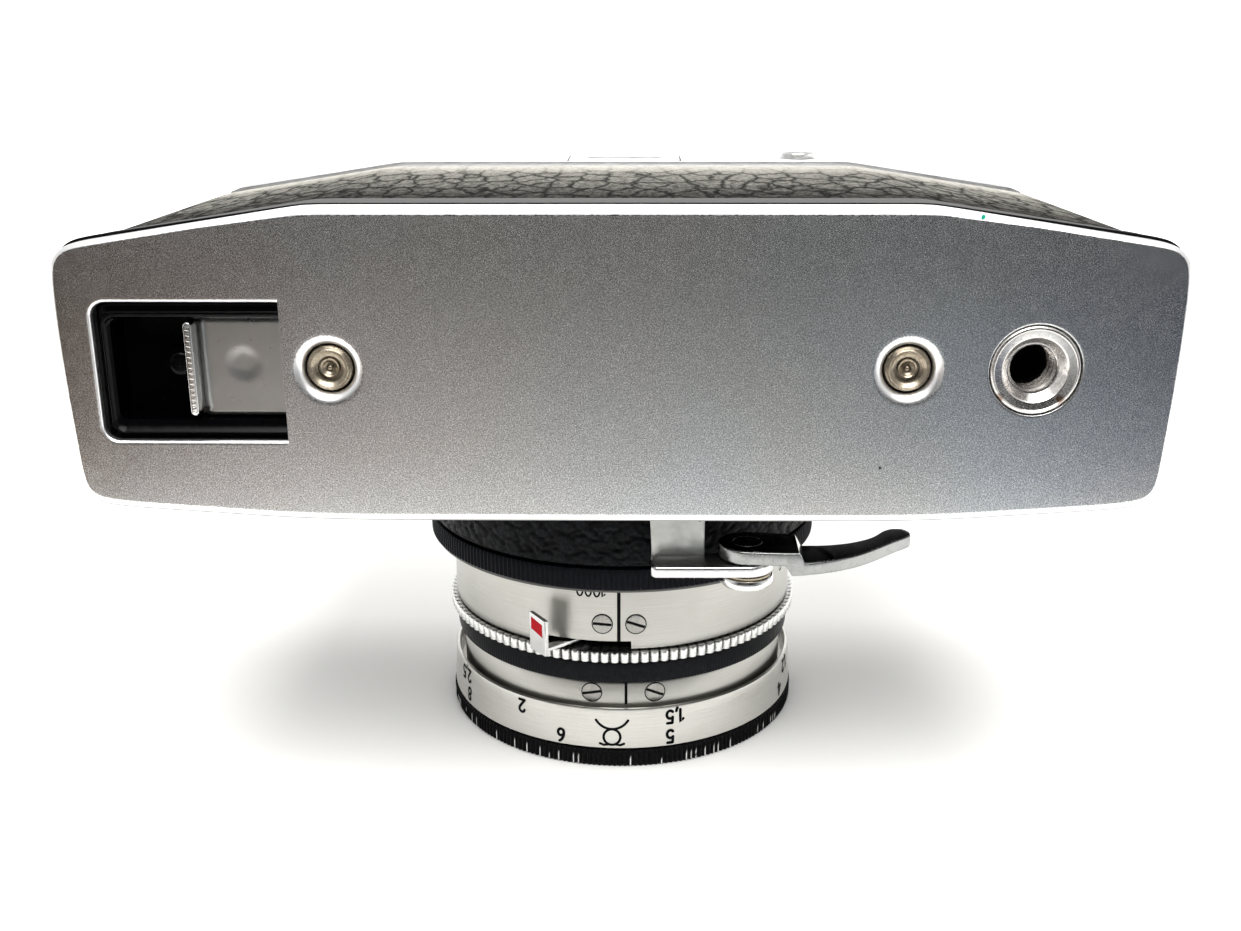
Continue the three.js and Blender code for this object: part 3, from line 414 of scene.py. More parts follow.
M = {
    "satin_chrome": mat_satin_chrome(),
    "polished_chrome": mat_polished("polished_chrome_wear", (0.74, 0.74, 0.735), 0.12, 0.40, True),
    "clean_chrome": mat_polished("polished_chrome_clean", (0.76, 0.76, 0.75), 0.09, 0.25, False),
    "satin_silver": mat_turned("satin_silver_turned", (0.47, 0.462, 0.434), 0.30, 16.0, 0.08),
    "focus_silver": mat_turned("focus_ring_silver", (0.63, 0.617, 0.582), 0.28, 14.0, 0.08),
    "dull_chrome": mat_polished("dull_chrome_strap", (0.44, 0.445, 0.43), 0.30, 0.30, True),
    "lever_chrome": mat_polished("lever_chrome_worn", (0.33, 0.335, 0.33), 0.16, 0.28, True),
    "lever_top": mat_steel("lever_top_shadowed", (0.020, 0.020, 0.022), 0.07, (1, 1, 1), 0.15),
    "cover_chrome": mat_polished("cover_satin_chrome", (0.56, 0.56, 0.557), 0.30, 0.10, False),
    "frame_chrome": mat_polished("frame_satin_chrome", (0.90, 0.90, 0.895), 0.30, 0.10, False),
    "lip_grey": mat_paint("door_lip_grey", (0.095, 0.095, 0.092), 0.92),
    "knurl_silver": mat_turned("knurl_silver_groove_shade", (0.80, 0.80, 0.785), 0.24, 10.0, 0.05, True),
    "grey_metal": mat_turned("ring_lower_edge", (0.10, 0.10, 0.098), 0.33, 8.0, 0.05),
    "nickel": mat_nickel(),
    "bare_steel": mat_steel(),
    "crank_metal": mat_steel("crank_grey_metal", (0.47, 0.475, 0.465), 0.27, (0.5, 1, 0.5), 0.30),
    "small_screw": mat_steel("small_screw_steel", (0.36, 0.352, 0.33), 0.22, (5, 1, 1)),
    "bush": mat_bush(),
    "casting": mat_casting(),
    "leather": mat_leather(),
    # the back leather gets a painted sheen towards the camera's top edge
    "leather_back": mat_leather("coarse_leather_back", "object", 0.27, (0.95, 0.42, 1.0), (0.008, 0.008, 0.0078), (0.022, 0.0215, 0.020), 1.0, 0.008, (-29.0, -9.0, (0.20, 0.193, 0.172)), 0.38),
    "leather_drum": mat_drum_leather(),
    "black_ring": mat_black_ring("black_anodised", (0.0045, 0.005, 0.006), 0.32),
    "grip_black": mat_black_ring("grip_black_ribs", (0.0025, 0.0025, 0.0028), 0.28),
    "lock_black": mat_black_ring("lock_ring_black", (0.0035, 0.004, 0.006), 0.34, False),
    "black_plastic": mat_gloss_black(),
    "slot_black": mat_paint("slot_black", (0.004, 0.004, 0.0045), 0.5),
    "marker_green": mat_paint("green_mark", (0.01, 0.30, 0.20), 0.4),
    # a darker copy of the gloss black: painted shade for the well's floor, inner wall and spindle end
    "deep_black": mat_gloss_black("well_floor_shade_black", (0.0004, 0.0004, 0.0005), 0.2, 0.015),
    "ink": mat_paint("black_ink", (0.0030, 0.0030, 0.0035), 0.45),
    "red": mat_paint("red_enamel", (0.42, 0.006, 0.012), 0.30),
    "white": mat_paint("white_ink", (0.80, 0.80, 0.77), 0.5),
    "optical_glass": mat_glass(),
    "amber_glass": mat_glass("meter_window_glass", (0.80, 0.82, 0.84), 0.85),
    "mirror_glass": mat_mirror(),
}


# ------------------------------------------------------------------ mesh helpers
def emit(name, V, F, mats, body, replaces=(), fmat=None, uv=None, smooth=True, angle=32, attrs=None, fix=False, bevel=None):
    """V in mm. uv is one (u, v) pair per face corner. attrs are per-vertex floats."""
    me = bpy.data.meshes.new(name)
    V = np.asarray(V, float) * MM
    me.from_pydata(V.tolist(), [], [list(map(int, f)) for f in F])
    mats = [mats] if isinstance(mats, str) else mats
    for k in mats:
        me.materials.append(M[k])
    if fmat is not None:
        me.polygons.foreach_set("material_index", np.asarray(fmat, np.int32).ravel())
    if uv is not None:
        layer = me.uv_layers.new(name="UVMap")
        layer.data.foreach_set("uv", np.asarray(uv, np.float32).ravel())
    for k, vals in (attrs or {}).items():
        a = me.attributes.new(k, "FLOAT", "POINT")
        a.data.foreach_set("value", np.asarray(vals, np.float32).ravel())
    if fix:
        bm = bmesh.new()
        bm.from_mesh(me)
        bmesh.ops.recalc_face_normals(bm, faces=bm.faces)
        bm.to_mesh(me)
        bm.free()
    me.update()
    if smooth:
        me.shade_smooth()
        me.set_sharp_from_angle(angle=math.radians(angle))
    ob = bpy.data.objects.new(name, me)
    bpy.context.scene.collection.objects.link(ob)
    if bevel:
        mod = ob.modifiers.new("edge", "BEVEL")
        mod.width = bevel * MM
        mod.segments = 3
        mod.limit_method = "ANGLE"
        mod.angle_limit = math.radians(34)
        mod.harden_normals = False
    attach(ob, body)
    if replaces:
        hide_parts(*([replaces] if isinstance(replaces, str) else replaces))
    return ob


def grid_faces(nu, nv, cu, cv):
    iu = np.arange(nu if cu else nu - 1)
    iv = np.arange(nv if cv else nv - 1)
    a = iu[:, None] * nv + iv[None, :]
    b = ((iu + 1) % nu)[:, None] * nv + iv[None, :]
    c = ((iu + 1) % nu)[:, None] * nv + ((iv + 1) % nv)[None, :]
    d = iu[:, None] * nv + ((iv + 1) % nv)[None, :]
    return np.stack([a, b, c, d], -1), len(iu), len(iv)


def grid(name, P, mats, body, replaces=(), cu=False, cv=False, ue=None, ve=None, fm=None, attrs=None, angle=32, fix=True):
    nu, nv = P.shape[:2]
    F, mu, mv = grid_faces(nu, nv, cu, cv)
    uv = None
    if ue is not None:
        ue, ve = np.asarray(ue, float), np.asarray(ve, float)
        U0, V0 = np.meshgrid(ue[:mu], ve[:mv], indexing="ij")
        U1, V1 = np.meshgrid(ue[1 : mu + 1], ve[1 : mv + 1], indexing="ij")
        uv = np.stack([np.stack([U0, V0], -1), np.stack([U1, V0], -1), np.stack([U1, V1], -1), np.stack([U0, V1], -1)], 2).reshape(-1, 2)
    fmat = None if fm is None else np.asarray(fm)[:mu, :mv].ravel()
    return emit(name, P.reshape(-1, 3), F.reshape(-1, 4), mats, body, replaces, fmat, uv, angle=angle, attrs=attrs, fix=fix)


def turn_z(name, prof, mats, body, replaces=(), n=240, thetas=None, rfun=None, closed=True, fm=None, attrs=None, angle=32, cx=0.0, cy=LENS_Y):
    """Turned piece about a vertical axis. prof: (r, z[, k]); rfun(theta array, row index, r, z, k) gives r."""
    th = np.arange(n) * TAU / n - math.pi if thetas is None else np.asarray(thetas)
    P = np.zeros((len(th), len(prof), 3))
    for j, row in enumerate(prof):
        r, z = row[0], row[1]
        k = row[2] if len(row) > 2 else 0.0
        rr = np.full(len(th), r, float) if rfun is None else rfun(th, j, r, z, k)
        P[:, j, 0] = cx + rr * np.sin(th)
        P[:, j, 1] = cy - rr * np.cos(th)
        P[:, j, 2] = z
    R = max(row[0] for row in prof)
    ue = np.append(th, th[0] + TAU) * R
    d = [0.0]
    for a, b in zip(prof, list(prof[1:]) + [prof[0]]):
        d.append(d[-1] + math.hypot(b[0] - a[0], b[1] - a[1]))
    return grid(name, P, mats, body, replaces, True, closed, ue, d, fm, attrs, angle)


def turn_y(name, prof, cx, cz, mats, body, replaces=(), n=96, rfun=None, closed=False, fm=None, attrs=None, angle=32):
    """Turned piece about an axis along y. prof: (r, y)."""
    th = np.arange(n) * TAU / n
    P = np.zeros((n, len(prof), 3))
    for j, (r, y) in enumerate(prof):
        rr = np.full(n, r, float) if rfun is None else rfun(th, j, r, y)
        P[:, j, 0] = cx + rr * np.cos(th)
        P[:, j, 1] = y
        P[:, j, 2] = cz + rr * np.sin(th)
    R = max(p[0] for p in prof)
    d = [0.0]
    for a, b in zip(prof, list(prof[1:]) + [prof[0]]):
        d.append(d[-1] + math.hypot(b[0] - a[0], b[1] - a[1]))
    return grid(name, P, mats, body, replaces, True, closed, np.append(th, TAU) * R, d, fm, attrs, angle)


def normals2d(P):
    """Outward normals of a counter-clockwise closed outline."""
    P = np.asarray(P, float)
    a = P - np.roll(P, 1, 0)
    b = np.roll(P, -1, 0) - P
    a /= np.linalg.norm(a, axis=1)[:, None] + 1e-12
    b /= np.linalg.norm(b, axis=1)[:, None] + 1e-12
    na = np.stack([a[:, 1], -a[:, 0]], 1)
    nb = np.stack([b[:, 1], -b[:, 0]], 1)
    s = na + nb
    return s / np.maximum((s * s).sum(1) / 2, 0.35)[:, None]


def ccw(P):
    P = np.asarray(P, float)
    x, y = P[:, 0], P[:, 1]
    area = 0.5 * np.sum(x * np.roll(y, -1) - np.roll(x, -1) * y)
    return P if area > 0 else P[::-1].copy()


def cut_corners(P, caps=(1.2, 0.5, 0.22)):
    for cap in caps:
        Q = []
        n = len(P)
        for i in range(n):
            a, b = P[i], P[(i + 1) % n]
            L = np.linalg.norm(b - a)
            c = min(0.25 * L, cap)
            Q += [a + (b - a) * c / L, b - (b - a) * c / L]
        P = np.array(Q)
    return P


def fill(outer, holes=()):
    """Triangles over a flat outline with holes; indices run over outer, then each hole."""
    pts = [Vector(p) for p in outer]
    edges = [(i, (i + 1) % len(outer)) for i in range(len(outer))]
    for h in holes:
        k = len(pts)
        pts += [Vector(p) for p in h]
        edges += [(k + i, k + (i + 1) % len(h)) for i in range(len(h))]
    vo, _, faces, ov, _, _ = delaunay_2d_cdt(pts, edges, [], 1, 1e-7)
    back = [o[0] if o else -1 for o in ov]

    def inside(p, poly):
        c, n = False, len(poly)
        for i in range(n):
            x0, y0 = poly[i]
            x1, y1 = poly[(i + 1) % n]
            if (y0 > p[1]) != (y1 > p[1]) and p[0] < (x1 - x0) * (p[1] - y0) / (y1 - y0) + x0:
                c = not c
        return c

    out = []
    for f in faces:
        c = sum((vo[i] for i in f), Vector((0, 0))) / len(f)
        if inside(c, outer) and not any(inside(c, h) for h in holes):
            out.append([back[i] for i in f])
    return out


def prism_arrays(outline, lo, hi, b, axis, seg=3):
    """Extruded outline with rounded edges, as vertices and faces. axis z: outline is (x, y); axis y: (x, z); axis x: (y, z)."""
    P = ccw(outline)
    n = len(P)
    nrm = normals2d(P)
    rings = []
    for i in range(seg + 1):
        a = math.pi / 2 * i / seg
        rings.append((b * (1 - math.sin(a)), lo + b * (1 - math.cos(a))))
    for i in range(seg, -1, -1):
        a = math.pi / 2 * i / seg
        rings.append((b * (1 - math.sin(a)), hi - b * (1 - math.cos(a))))
    V = []
    for d, h in rings:
        q = P - nrm * d
        for u, v in q:
            V.append({"z": (u, v, h), "y": (u, h, v), "x": (h, u, v)}[axis])
    F = []
    for k in range(len(rings) - 1):
        for i in range(n):
            j = (i + 1) % n
            F.append([k * n + i, k * n + j, (k + 1) * n + j, (k + 1) * n + i])
    F.append(list(range(n))[::-1])
    F.append([(len(rings) - 1) * n + i for i in range(n)])
    return V, F


def join_arrays(parts):
    V, F = [], []
    for v, f in parts:
        k = len(V)
        V += list(v)
        F += [[i + k for i in q] for q in f]
    return V, F


def refine(node, width, mat, body=None, angle=30, segs=3):
    """The CAD node's own shape, cleaned of its facets' inner edges, with rounded edges that catch light."""
    src = NODES[node]
    bm = bmesh.new()
    bm.from_mesh(src.data)
    bmesh.ops.remove_doubles(bm, verts=bm.verts, dist=2e-6)
    bmesh.ops.dissolve_limit(bm, angle_limit=math.radians(0.6), verts=bm.verts, edges=bm.edges)
    bmesh.ops.recalc_face_normals(bm, faces=bm.faces)
    me = bpy.data.meshes.new(node + "_fine")
    bm.to_mesh(me)
    bm.free()
    me.materials.clear()
    me.materials.append(M[mat])
    for p in me.polygons:
        p.material_index = 0
    ob = bpy.data.objects.new(node + "_fine", me)
    bpy.context.scene.collection.objects.link(ob)
    if width:
        mod = ob.modifiers.new("edge", "BEVEL")
        mod.width = width * MM
        mod.segments = segs
        mod.limit_method = "ANGLE"
        mod.angle_limit = math.radians(angle)
        mod.use_clamp_overlap = True
        dg = bpy.context.evaluated_depsgraph_get()
        done = bpy.data.meshes.new_from_object(ob.evaluated_get(dg))
        ob.modifiers.clear()
        ob.data = done
        me = done
    me.shade_smooth()
    me.set_sharp_from_angle(angle=math.radians(34))
    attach(ob, body or src["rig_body"])
    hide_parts(node)
    return ob


def circle2(cx, cy, r, n=64):
    return np.array([(cx + r * math.cos(TAU * i / n), cy + r * math.sin(TAU * i / n)) for i in range(n)])


# ------------------------------------------------------------------ carried-over CAD nodes
for name, o in NODES.items():
    old = o.data.materials[0].name.split(".")[0] if o.data.materials and o.data.materials[0] else "bare_steel"
    mat = M.get(old, M["bare_steel"])
    for i in range(len(o.material_slots)):
        o.material_slots[i].material = mat

# ------------------------------------------------------------------ body outline
HALF = [(0, 82.28), (37.2, 82.25), (39.4, 81.98), (49.5, 80.4), (59.3, 78.87), (65.4, 77.9), (66.9, 77.3), (67.9, 76.3), (68.4, 75.0),
        (68.6, 72), (68.6, 66), (68.4, 59), (68.1, 53), (67.85, 48.6), (67.5, 46.9), (66.8, 45.8), (65.5, 45.0), (62, 44.5), (56, 44.07),
        (50, 43.68), (44, 43.25), (38, 42.98), (32, 42.86), (16, 42.84), (0, 42.84)]
OUTLINE = ccw(np.array(HALF + [(-x, z) for x, z in reversed(HALF) if x > 0]))


def resample(P, step):
    """Splits long sides, so that shading and grain attributes follow them."""
    out = []
    n = len(P)
    for i in range(n):
        a, b = P[i], P[(i + 1) % n]
        k = max(1, int(np.linalg.norm(b - a) / step))
        out += [a + (b - a) * j / k for j in range(k)]
    return np.array(out)


SMOOTH = resample(cut_corners(OUTLINE), 3.0)
SMOOTH_N = normals2d(SMOOTH)


def inset(d):
    return SMOOTH - SMOOTH_N * d


# ------------------------------------------------------------------ base plate
def base_plate():
    V, F, rim, line = [], [], [], []
    n = len(SMOOTH)
    flat = -45.95
    bead = [(1.15, -43.6, 1), (0.02, -43.6, 1), (0.0, -43.7, 1), (0.0, -45.00, 1), (0.03, -45.16, 1), (0.11, -45.32, 1), (0.25, -45.48, 1),
            (0.45, -45.64, 1), (0.68, -45.78, 0.95), (0.88, -45.88, 0.80), (1.02, -45.935, 0.55), (1.14, flat, 0.30), (1.32, flat, 0.10), (1.60, flat, 0.0)]
    # the polished border is broad along the long edges and thin at the ends
    nz, ax = SMOOTH_N[:, 1], np.abs(SMOOTH[:, 0])
    broad = np.clip(1.0 - (ax - 37.0) / 13.0 * 0.42, 0.58, 1.0)
    wide = np.where(nz > 0, nz * broad + (1 - nz) * 0.42, -nz * 0.80 + (1 + nz) * 0.42)
    deep = np.where(nz > 0, nz * 0.80 + (1 - nz) * 0.32, -nz * 0.16 + (1 + nz) * 0.32)
    for r, (d, y, k) in enumerate(bead):
        w = d if r < 4 else d * wide
        ys = np.full(n, y) if r < 3 else flat + (y - flat) * deep
        q = SMOOTH - SMOOTH_N * (w if np.ndim(w) == 0 else w[:, None])
        for i, ((x, z), yy) in enumerate(zip(q, ys)):
            V.append((x, yy, z))
            rim.append(k)
            # the outer rows of the side and bottom edges carry the painted shade line
            line.append((1.0, 1.0, 1.0, 1.0, 1.0, 1.0, 0.10)[r] * (1.0 if nz[i] < 0.5 else 0.0) if r < 7 else 0.0)
    for k in range(len(bead) - 1):
        for i in range(n):
            j = (i + 1) % n
            F.append([k * n + i, (k + 1) * n + i, (k + 1) * n + j, k * n + j])
    base = (len(bead) - 1) * n
    outer = [(V[base + i][0], V[base + i][2]) for i in range(n)]

    holes, starts = [], []

    def hole(loop_fn, rows):
        """rows: (offset outward from the hole's edge, y, rim)"""
        k0 = len(V)
        m = None
        for off, y, r in rows:
            pts = loop_fn(off)
            m = len(pts)
            for p in pts:
                V.append((p[0], y, p[1]))
                rim.append(r)
        for k in range(len(rows) - 1):
            for i in range(m):
                j = (i + 1) % m
                F.append([k0 + k * m + i, k0 + k * m + j, k0 + (k + 1) * m + j, k0 + (k + 1) * m + i])
        holes.append([(V[k0 + i][0], V[k0 + i][2]) for i in range(m)])
        starts.append((k0, m))

    for sx in (-35.58, 35.58):
        hole(lambda off, sx=sx: circle2(sx, 62.45, 3.12 + off, 72),
             [(1.60, flat, 0.0), (1.30, flat + 0.005, 0.22), (1.05, flat + 0.04, 0.66), (0.85, flat + 0.11, 1), (0.6, flat + 0.24, 1), (0.34, flat + 0.44, 1),
              (0.12, flat + 0.72, 1), (0.0, flat + 1.0, 1), (0.0, -44.2, 1)])
    hole(lambda off: circle2(51.0, 62.5, 5.70 + off, 96), [(0.30, flat, 0.0), (0.10, flat, 0.20), (0.03, flat + 0.05, 0.55), (0.0, flat + 0.2, 0.6), (0.0, -44.8, 0.3)])

    x0, x1, z0, z1, rc = -64.2, -41.2, 53.3, 70.75, 1.9
    well = []
    for cx, cz, a0 in ((x0 + rc, z1 - rc, 90), (x0 + rc, z0 + rc, 180)):
        for i in range(13):
            a = math.radians(a0 + 90 * i / 12)
            well.append((cx + rc * math.cos(a), cz + rc * math.sin(a)))
    well += [(-55, z0), (-48, z0), (-42, z0), (x1, z0), (x1, z0 + 0.8), (x1, 58), (x1, 62), (x1, 66), (x1, z1 - 0.8), (x1, z1), (-42, z1), (-48, z1), (-55, z1)]
    well = ccw(np.array(well))
    wn = normals2d(well)
    sharp = np.where(well[:, 0] > x1 - 0.01, 0.12, 1.0)

    def well_loop(off):
        q = well + wn * off * np.stack([sharp, np.ones(len(well))], 1)
        return q

    hole(well_loop, [(0.60, flat, 0.0), (0.42, flat, 0.25), (0.28, flat + 0.03, 0.9), (0.14, flat + 0.12, 1), (0.04, flat + 0.26, 1), (0.0, flat + 0.42, 1), (0.0, -45.0, 0.6)])
    tris = fill(outer, holes)
    idx = [base + i for i in range(n)]
    for k0, m in starts:
        idx += [k0 + i for i in range(m)]
    F += [[idx[i] for i in f] for f in tris]
    line += [0.0] * (len(V) - len(line))
    emit("base_plate_pressed", V, F, "satin_chrome", "camera", "base_plate", attrs={"rim": rim, "outline": line}, angle=40, fix=True)


base_plate()


# ------------------------------------------------------------------ base screws and tripod bush
def base_screw(name, cx, node):
    prof = [(0.001, -44.95), (0.16, -44.95), (0.30, -44.85), (0.36, -44.62), (0.50, -44.52), (0.72, -44.60), (0.92, -44.85), (1.05, -45.02), (1.20, -45.04),
            (1.29, -44.92), (1.33, -44.62), (1.42, -44.62), (1.50, -44.86), (1.66, -44.90), (1.95, -45.0), (2.15, -45.22), (2.32, -45.32), (2.46, -45.26),
            (2.56, -45.05), (2.66, -45.02), (2.78, -44.96), (2.88, -44.72), (2.92, -44.3), (2.92, -43.2), (2.2, -39.4), (0.001, -39.3)]
    turn_y(name, prof, cx, 62.45, "nickel", "camera", node, n=96, angle=50)


base_screw("base_screw_turned_left", -35.58, "base_screw_left")
base_screw("base_screw_turned_right", 35.58, "base_screw_right")


def tripod_bush():
    cx, cz = 51.0, 62.5
    rows = [(7.1, -43.4), (7.1, -44.6), (5.60, -44.6), (5.58, -45.3), (5.54, -45.66), (5.42, -45.88), (5.28, -45.96), (5.12, -45.97), (5.04, -45.88), (4.96, -45.86),
            (4.18, -45.80), (4.06, -45.76), (3.93, -45.60), (3.60, -45.20), (3.40, -44.95), (3.2, -44.72)]
    k = len(rows)
    y = -44.70
    while y < -34.9:
        rows.append((2.95, y))
        y += 0.127
    rows += [(2.9, -34.8), (0.001, -34.7)]

    def rfun(th, j, r, y):
        base = np.full(len(th), r)
        if k <= j < len(rows) - 2:
            ph = (y + 44.7) / 1.27 - th / TAU
            tri = np.abs(2 * (ph - np.floor(ph)) - 1)
            grow = min(1.0, (y + 44.7) / 0.6)
            return base + (0.17 - 0.42 * np.clip(1.25 * tri - 0.12, 0, 1)) * grow + 0.12 * (1 - grow)
        return base

    m = len(rows)
    # the deep thread rows and the hole's end take the black: painted shade down the hole
    fm = np.zeros((96, m), int)
    fm[:, m - 48 :] = 1
    turn_y("tripod_bush_threaded", rows, cx, cz, ["bush", "slot_black"], "camera", "tripod_bush", n=96, rfun=rfun, fm=fm, angle=38)


tripod_bush()


# ------------------------------------------------------------------ rewind well, crank, spindle end
def rewind_well():
    V, F = [], []

    def loop(x0, x1, z0, z1, r):
        pts = []
        for cx, cz, a0, rr in ((x1 - 0.3, z1 - 0.3, 0, 0.3), (x0 + r, z1 - r, 90, r), (x0 + r, z0 + r, 180, r), (x1 - 0.3, z0 + 0.3, 270, 0.3)):
            for i in range(11):
                a = math.radians(a0 + 90 * i / 10)
                pts.append((cx + rr * math.cos(a), cz + rr * math.sin(a)))
        return pts

    # outside wall, then the double bead, then down the inside wall to the floor
    rows = [(-63.85, 53.65, 70.4, -39.2, -39.1, 1.7), (-63.85, 53.65, 70.4, -39.2, -44.2, 1.7), (-63.80, 53.70, 70.35, -39.3, -44.28, 1.7),
            (-63.62, 53.80, 69.45, -39.35, -44.32, 1.6), (-63.54, 53.88, 69.20, -39.4, -44.50, 1.55), (-63.44, 53.98, 69.02, -39.45, -44.80, 1.5),
            (-63.32, 54.10, 68.88, -39.5, -44.88, 1.4), (-63.18, 54.26, 68.76, -39.55, -44.80, 1.3), (-63.04, 54.5, 68.66, -39.6, -44.50, 1.2),
            (-62.80, 55.2, 68.55, -39.8, -44.30, 1.0), (-62.60, 55.60, 68.45, -40.1, -44.2, 0.9), (-62.58, 55.62, 68.43, -40.1, -40.6, 0.9),
            (-62.45, 55.75, 68.30, -40.2, -40.2, 0.8), (-62.2, 56.0, 68.05, -40.4, -40.1, 0.7)]
    m = None
    for x0, z0, z1, x1, y, r in rows:
        pts = loop(x0, x1, z0, z1, r)
        m = len(pts)
        V += [(p[0], y, p[1]) for p in pts]
    for k in range(len(rows) - 1):
        for i in range(m):
            j = (i + 1) % m
            F.append([k * m + i, (k + 1) * m + i, (k + 1) * m + j, k * m + j])
    # floor with the spindle's hole
    k0 = len(V)
    hole = circle2(-55.6, 61.9, 2.42, 48)
    V += [(p[0], -40.1, p[1]) for p in hole]
    V += [(p[0], -39.2, p[1]) for p in hole]
    for i in range(48):
        j = (i + 1) % 48
        F.append([k0 + i, k0 + j, k0 + 48 + j, k0 + 48 + i])
    last = (len(rows) - 1) * m
    outer = [(V[last + i][0], V[last + i][2]) for i in range(m)]
    idx = [last + i for i in range(m)] + [k0 + i for i in range(48)]
    # the inner wall below the bead and the floor take the darker black: painted shade down the well
    fm = [1 if f[0] >= 10 * m or f[0] >= last else 0 for f in F]
    floor = fill(outer, [[tuple(p) for p in hole]])
    F += [[idx[i] for i in f] for f in floor]
    fm += [1] * len(floor)
    emit("rewind_well_moulded", V, F, ["black_plastic", "deep_black"], "camera", "rewind_well", fmat=fm, angle=40, fix=True)


rewind_well()


def rewind_crank():
    z0, z1, zc = 55.9, 68.2, 62.3
    # section through flap, curl and finger lip: outer side first, then back along the inner side
    path = [(-40.9, -41.9), (-41.0, -42.35), (-41.4, -42.78), (-42.0, -42.9)]
    path += [(-42.0 - i * 0.30, -42.9) for i in range(1, 31)]
    path += [(-51.35, -42.88), (-51.65, -42.78), (-51.95, -42.58), (-52.2, -42.30), (-52.42, -42.1), (-52.7, -42.08), (-52.85, -42.35)]
    nz = 41
    zs = z0 + (z1 - z0) * (np.arange(nz) / (nz - 1))
    th = 0.65
    A = np.array(path)
    T = np.gradient(A, axis=0)
    T /= np.linalg.norm(T, axis=1)[:, None]
    nrm = np.stack([T[:, 1], -T[:, 0]], 1)
    nrm[nrm[:, 1] < 0] *= -1
    B = A + nrm * th
    B[-3:] = A[-3:] + np.array([0.25, 0.45])
    full = np.concatenate([A, B[::-1]])
    P = np.zeros((len(full), nz, 3))
    for i, (x, y) in enumerate(full):
        for j, z in enumerate(zs):
            zz = z
            inner = i >= len(A)
            dy = 0.0
            r = math.hypot(x + 46.8, (z - 62.6))
            if -50.9 < x < -43.5:
                s = min(1.0, max(0.0, (2.5 - r) / 1.6))
                dy = 0.15 * s * s * (3 - 2 * s)
            # rounded long edges
            e = min(z - z0, z1 - z)
            if e < 0.2 and not inner:
                dy += 0.12 * (1 - e / 0.2)
            P[i, j] = (x, y + dy, zz)
    V = P.reshape(-1, 3).tolist()
    Fq, _, _ = grid_faces(len(full), nz, True, False)
    F = Fq.reshape(-1, 4).tolist()
    n = len(full)
    F.append([i * nz for i in range(n)])
    F.append([i * nz + nz - 1 for i in range(n)][::-1])
    # ears round the pin
    for a, b in ((z0, z0 + 1.4), (z1 - 1.4, z1)):
        v, f = prism_arrays(circle2(-41.8, -41.3, 0.98, 24), a, b, 0.15, "z")
        k = len(V)
        V += [list(p) for p in v]
        F += [[i + k for i in q] for q in f]
    emit("rewind_crank_flap", V, F, "crank_metal", "crank", "rewind_crank", angle=36, fix=True)
    # upright finger lip: a round-ended bar with a knurled crest
    hw, za, zb = 0.50, zc - 5.92, zc + 5.85
    pts = []
    for cz, a0 in ((zb - hw, 0), (za + hw, 180)):
        for i in range(13):
            a = math.radians(a0 + 180 * i / 12)
            pts.append((-52.80 + hw * math.cos(a), cz + hw * math.sin(a)))
    lipV, lipF = prism_arrays(np.array(pts), -45.15, -42.1, 0.14, "y")
    emit("crank_finger_lip", lipV, lipF, "clean_chrome", "crank", (), angle=36, fix=True)
    # knurl: crossing ridges along the crest
    parts = []
    k = 0
    z = za + 0.55
    while z < zb - 0.55:
        s = 1 if k % 2 else -1
        a = np.array([(-52.80 - 0.26, z - 0.10 - 0.07 * s), (-52.80 + 0.26, z - 0.10 + 0.07 * s), (-52.80 + 0.26, z + 0.07 + 0.07 * s), (-52.80 - 0.26, z + 0.07 - 0.07 * s)])
        parts.append(prism_arrays(a, -45.24, -45.1, 0.04, "y", 1))
        z += 0.34
        k += 1
    v, f = join_arrays(parts)
    emit("crank_lip_knurl", v, f, "small_screw", "crank", (), angle=20, fix=True)


rewind_crank()
# the spindle's end in the darker black: painted shade at the well's bottom
turn_y("rewind_spindle_end", [(0.001, -40.64), (2.36, -40.64), (2.412, -40.59), (2.412, -38.9)], -55.6, 61.9,
       "deep_black", "spindle", (), n=64)
turn_y("rewind_spindle_boss", [(0.001, -41.0), (0.8, -41.0), (1.25, -40.94), (1.5, -40.78), (1.56, -40.3), (1.56, -40.2)], -55.6, 61.9, "black_plastic", "spindle", (), n=48)

# ------------------------------------------------------------------ back door and leathers
def band(name, mat, body, node, d, y0, y1, keep, r=0.35, close=0.8, angle=40):
    """A skin that follows the body's outline between two heights along y, with rounded long edges, over the points that keep() holds."""
    idx = [i for i, p in enumerate(SMOOTH) if keep(p)]
    runs, cur = [], []
    n = len(SMOOTH)
    flags = [keep(p) for p in SMOOTH]
    start = next(i for i in range(n) if not flags[i])
    for s in range(1, n + 1):
        i = (start + s) % n
        if flags[i]:
            cur.append(i)
        elif cur:
            runs.append(cur)
            cur = []
    if cur:
        runs.append(cur)
    prof = [(d + close, y0 + 0.02), (d + r, y0), (d + 0.3 * r, y0 + 0.12 * r), (d + 0.08 * r, y0 + 0.45 * r), (d, y0 + r)]
    steps = max(2, int((y1 - y0) / 2.0))
    prof += [(d, y0 + r + (y1 - y0 - 2 * r) * i / steps) for i in range(1, steps + 1)]
    prof += [(d + 0.08 * r, y1 - 0.45 * r), (d + 0.3 * r, y1 - 0.12 * r), (d + r, y1), (d + close, y1 - 0.02)]
    objs = []
    for k, run in enumerate(runs):
        P = np.zeros((len(run), len(prof), 3))
        for a, i in enumerate(run):
            # ends sink a little, so that the cut edge of the skin reads
            e = 0.0
            if a == 0 or a == len(run) - 1:
                e = close
            elif a == 1 or a == len(run) - 2:
                e = 0.0
            for b, (dd, y) in enumerate(prof):
                q = SMOOTH[i] - SMOOTH_N[i] * max(dd, d + e if e else dd)
                P[a, b] = (q[0], y, q[1])
        objs.append(grid(name if k == 0 else f"{name}_{k}", P, mat, body, node if k == 0 else (), angle=angle, fix=False))
    return objs


refine("back_door", 0.18, "frame_chrome")


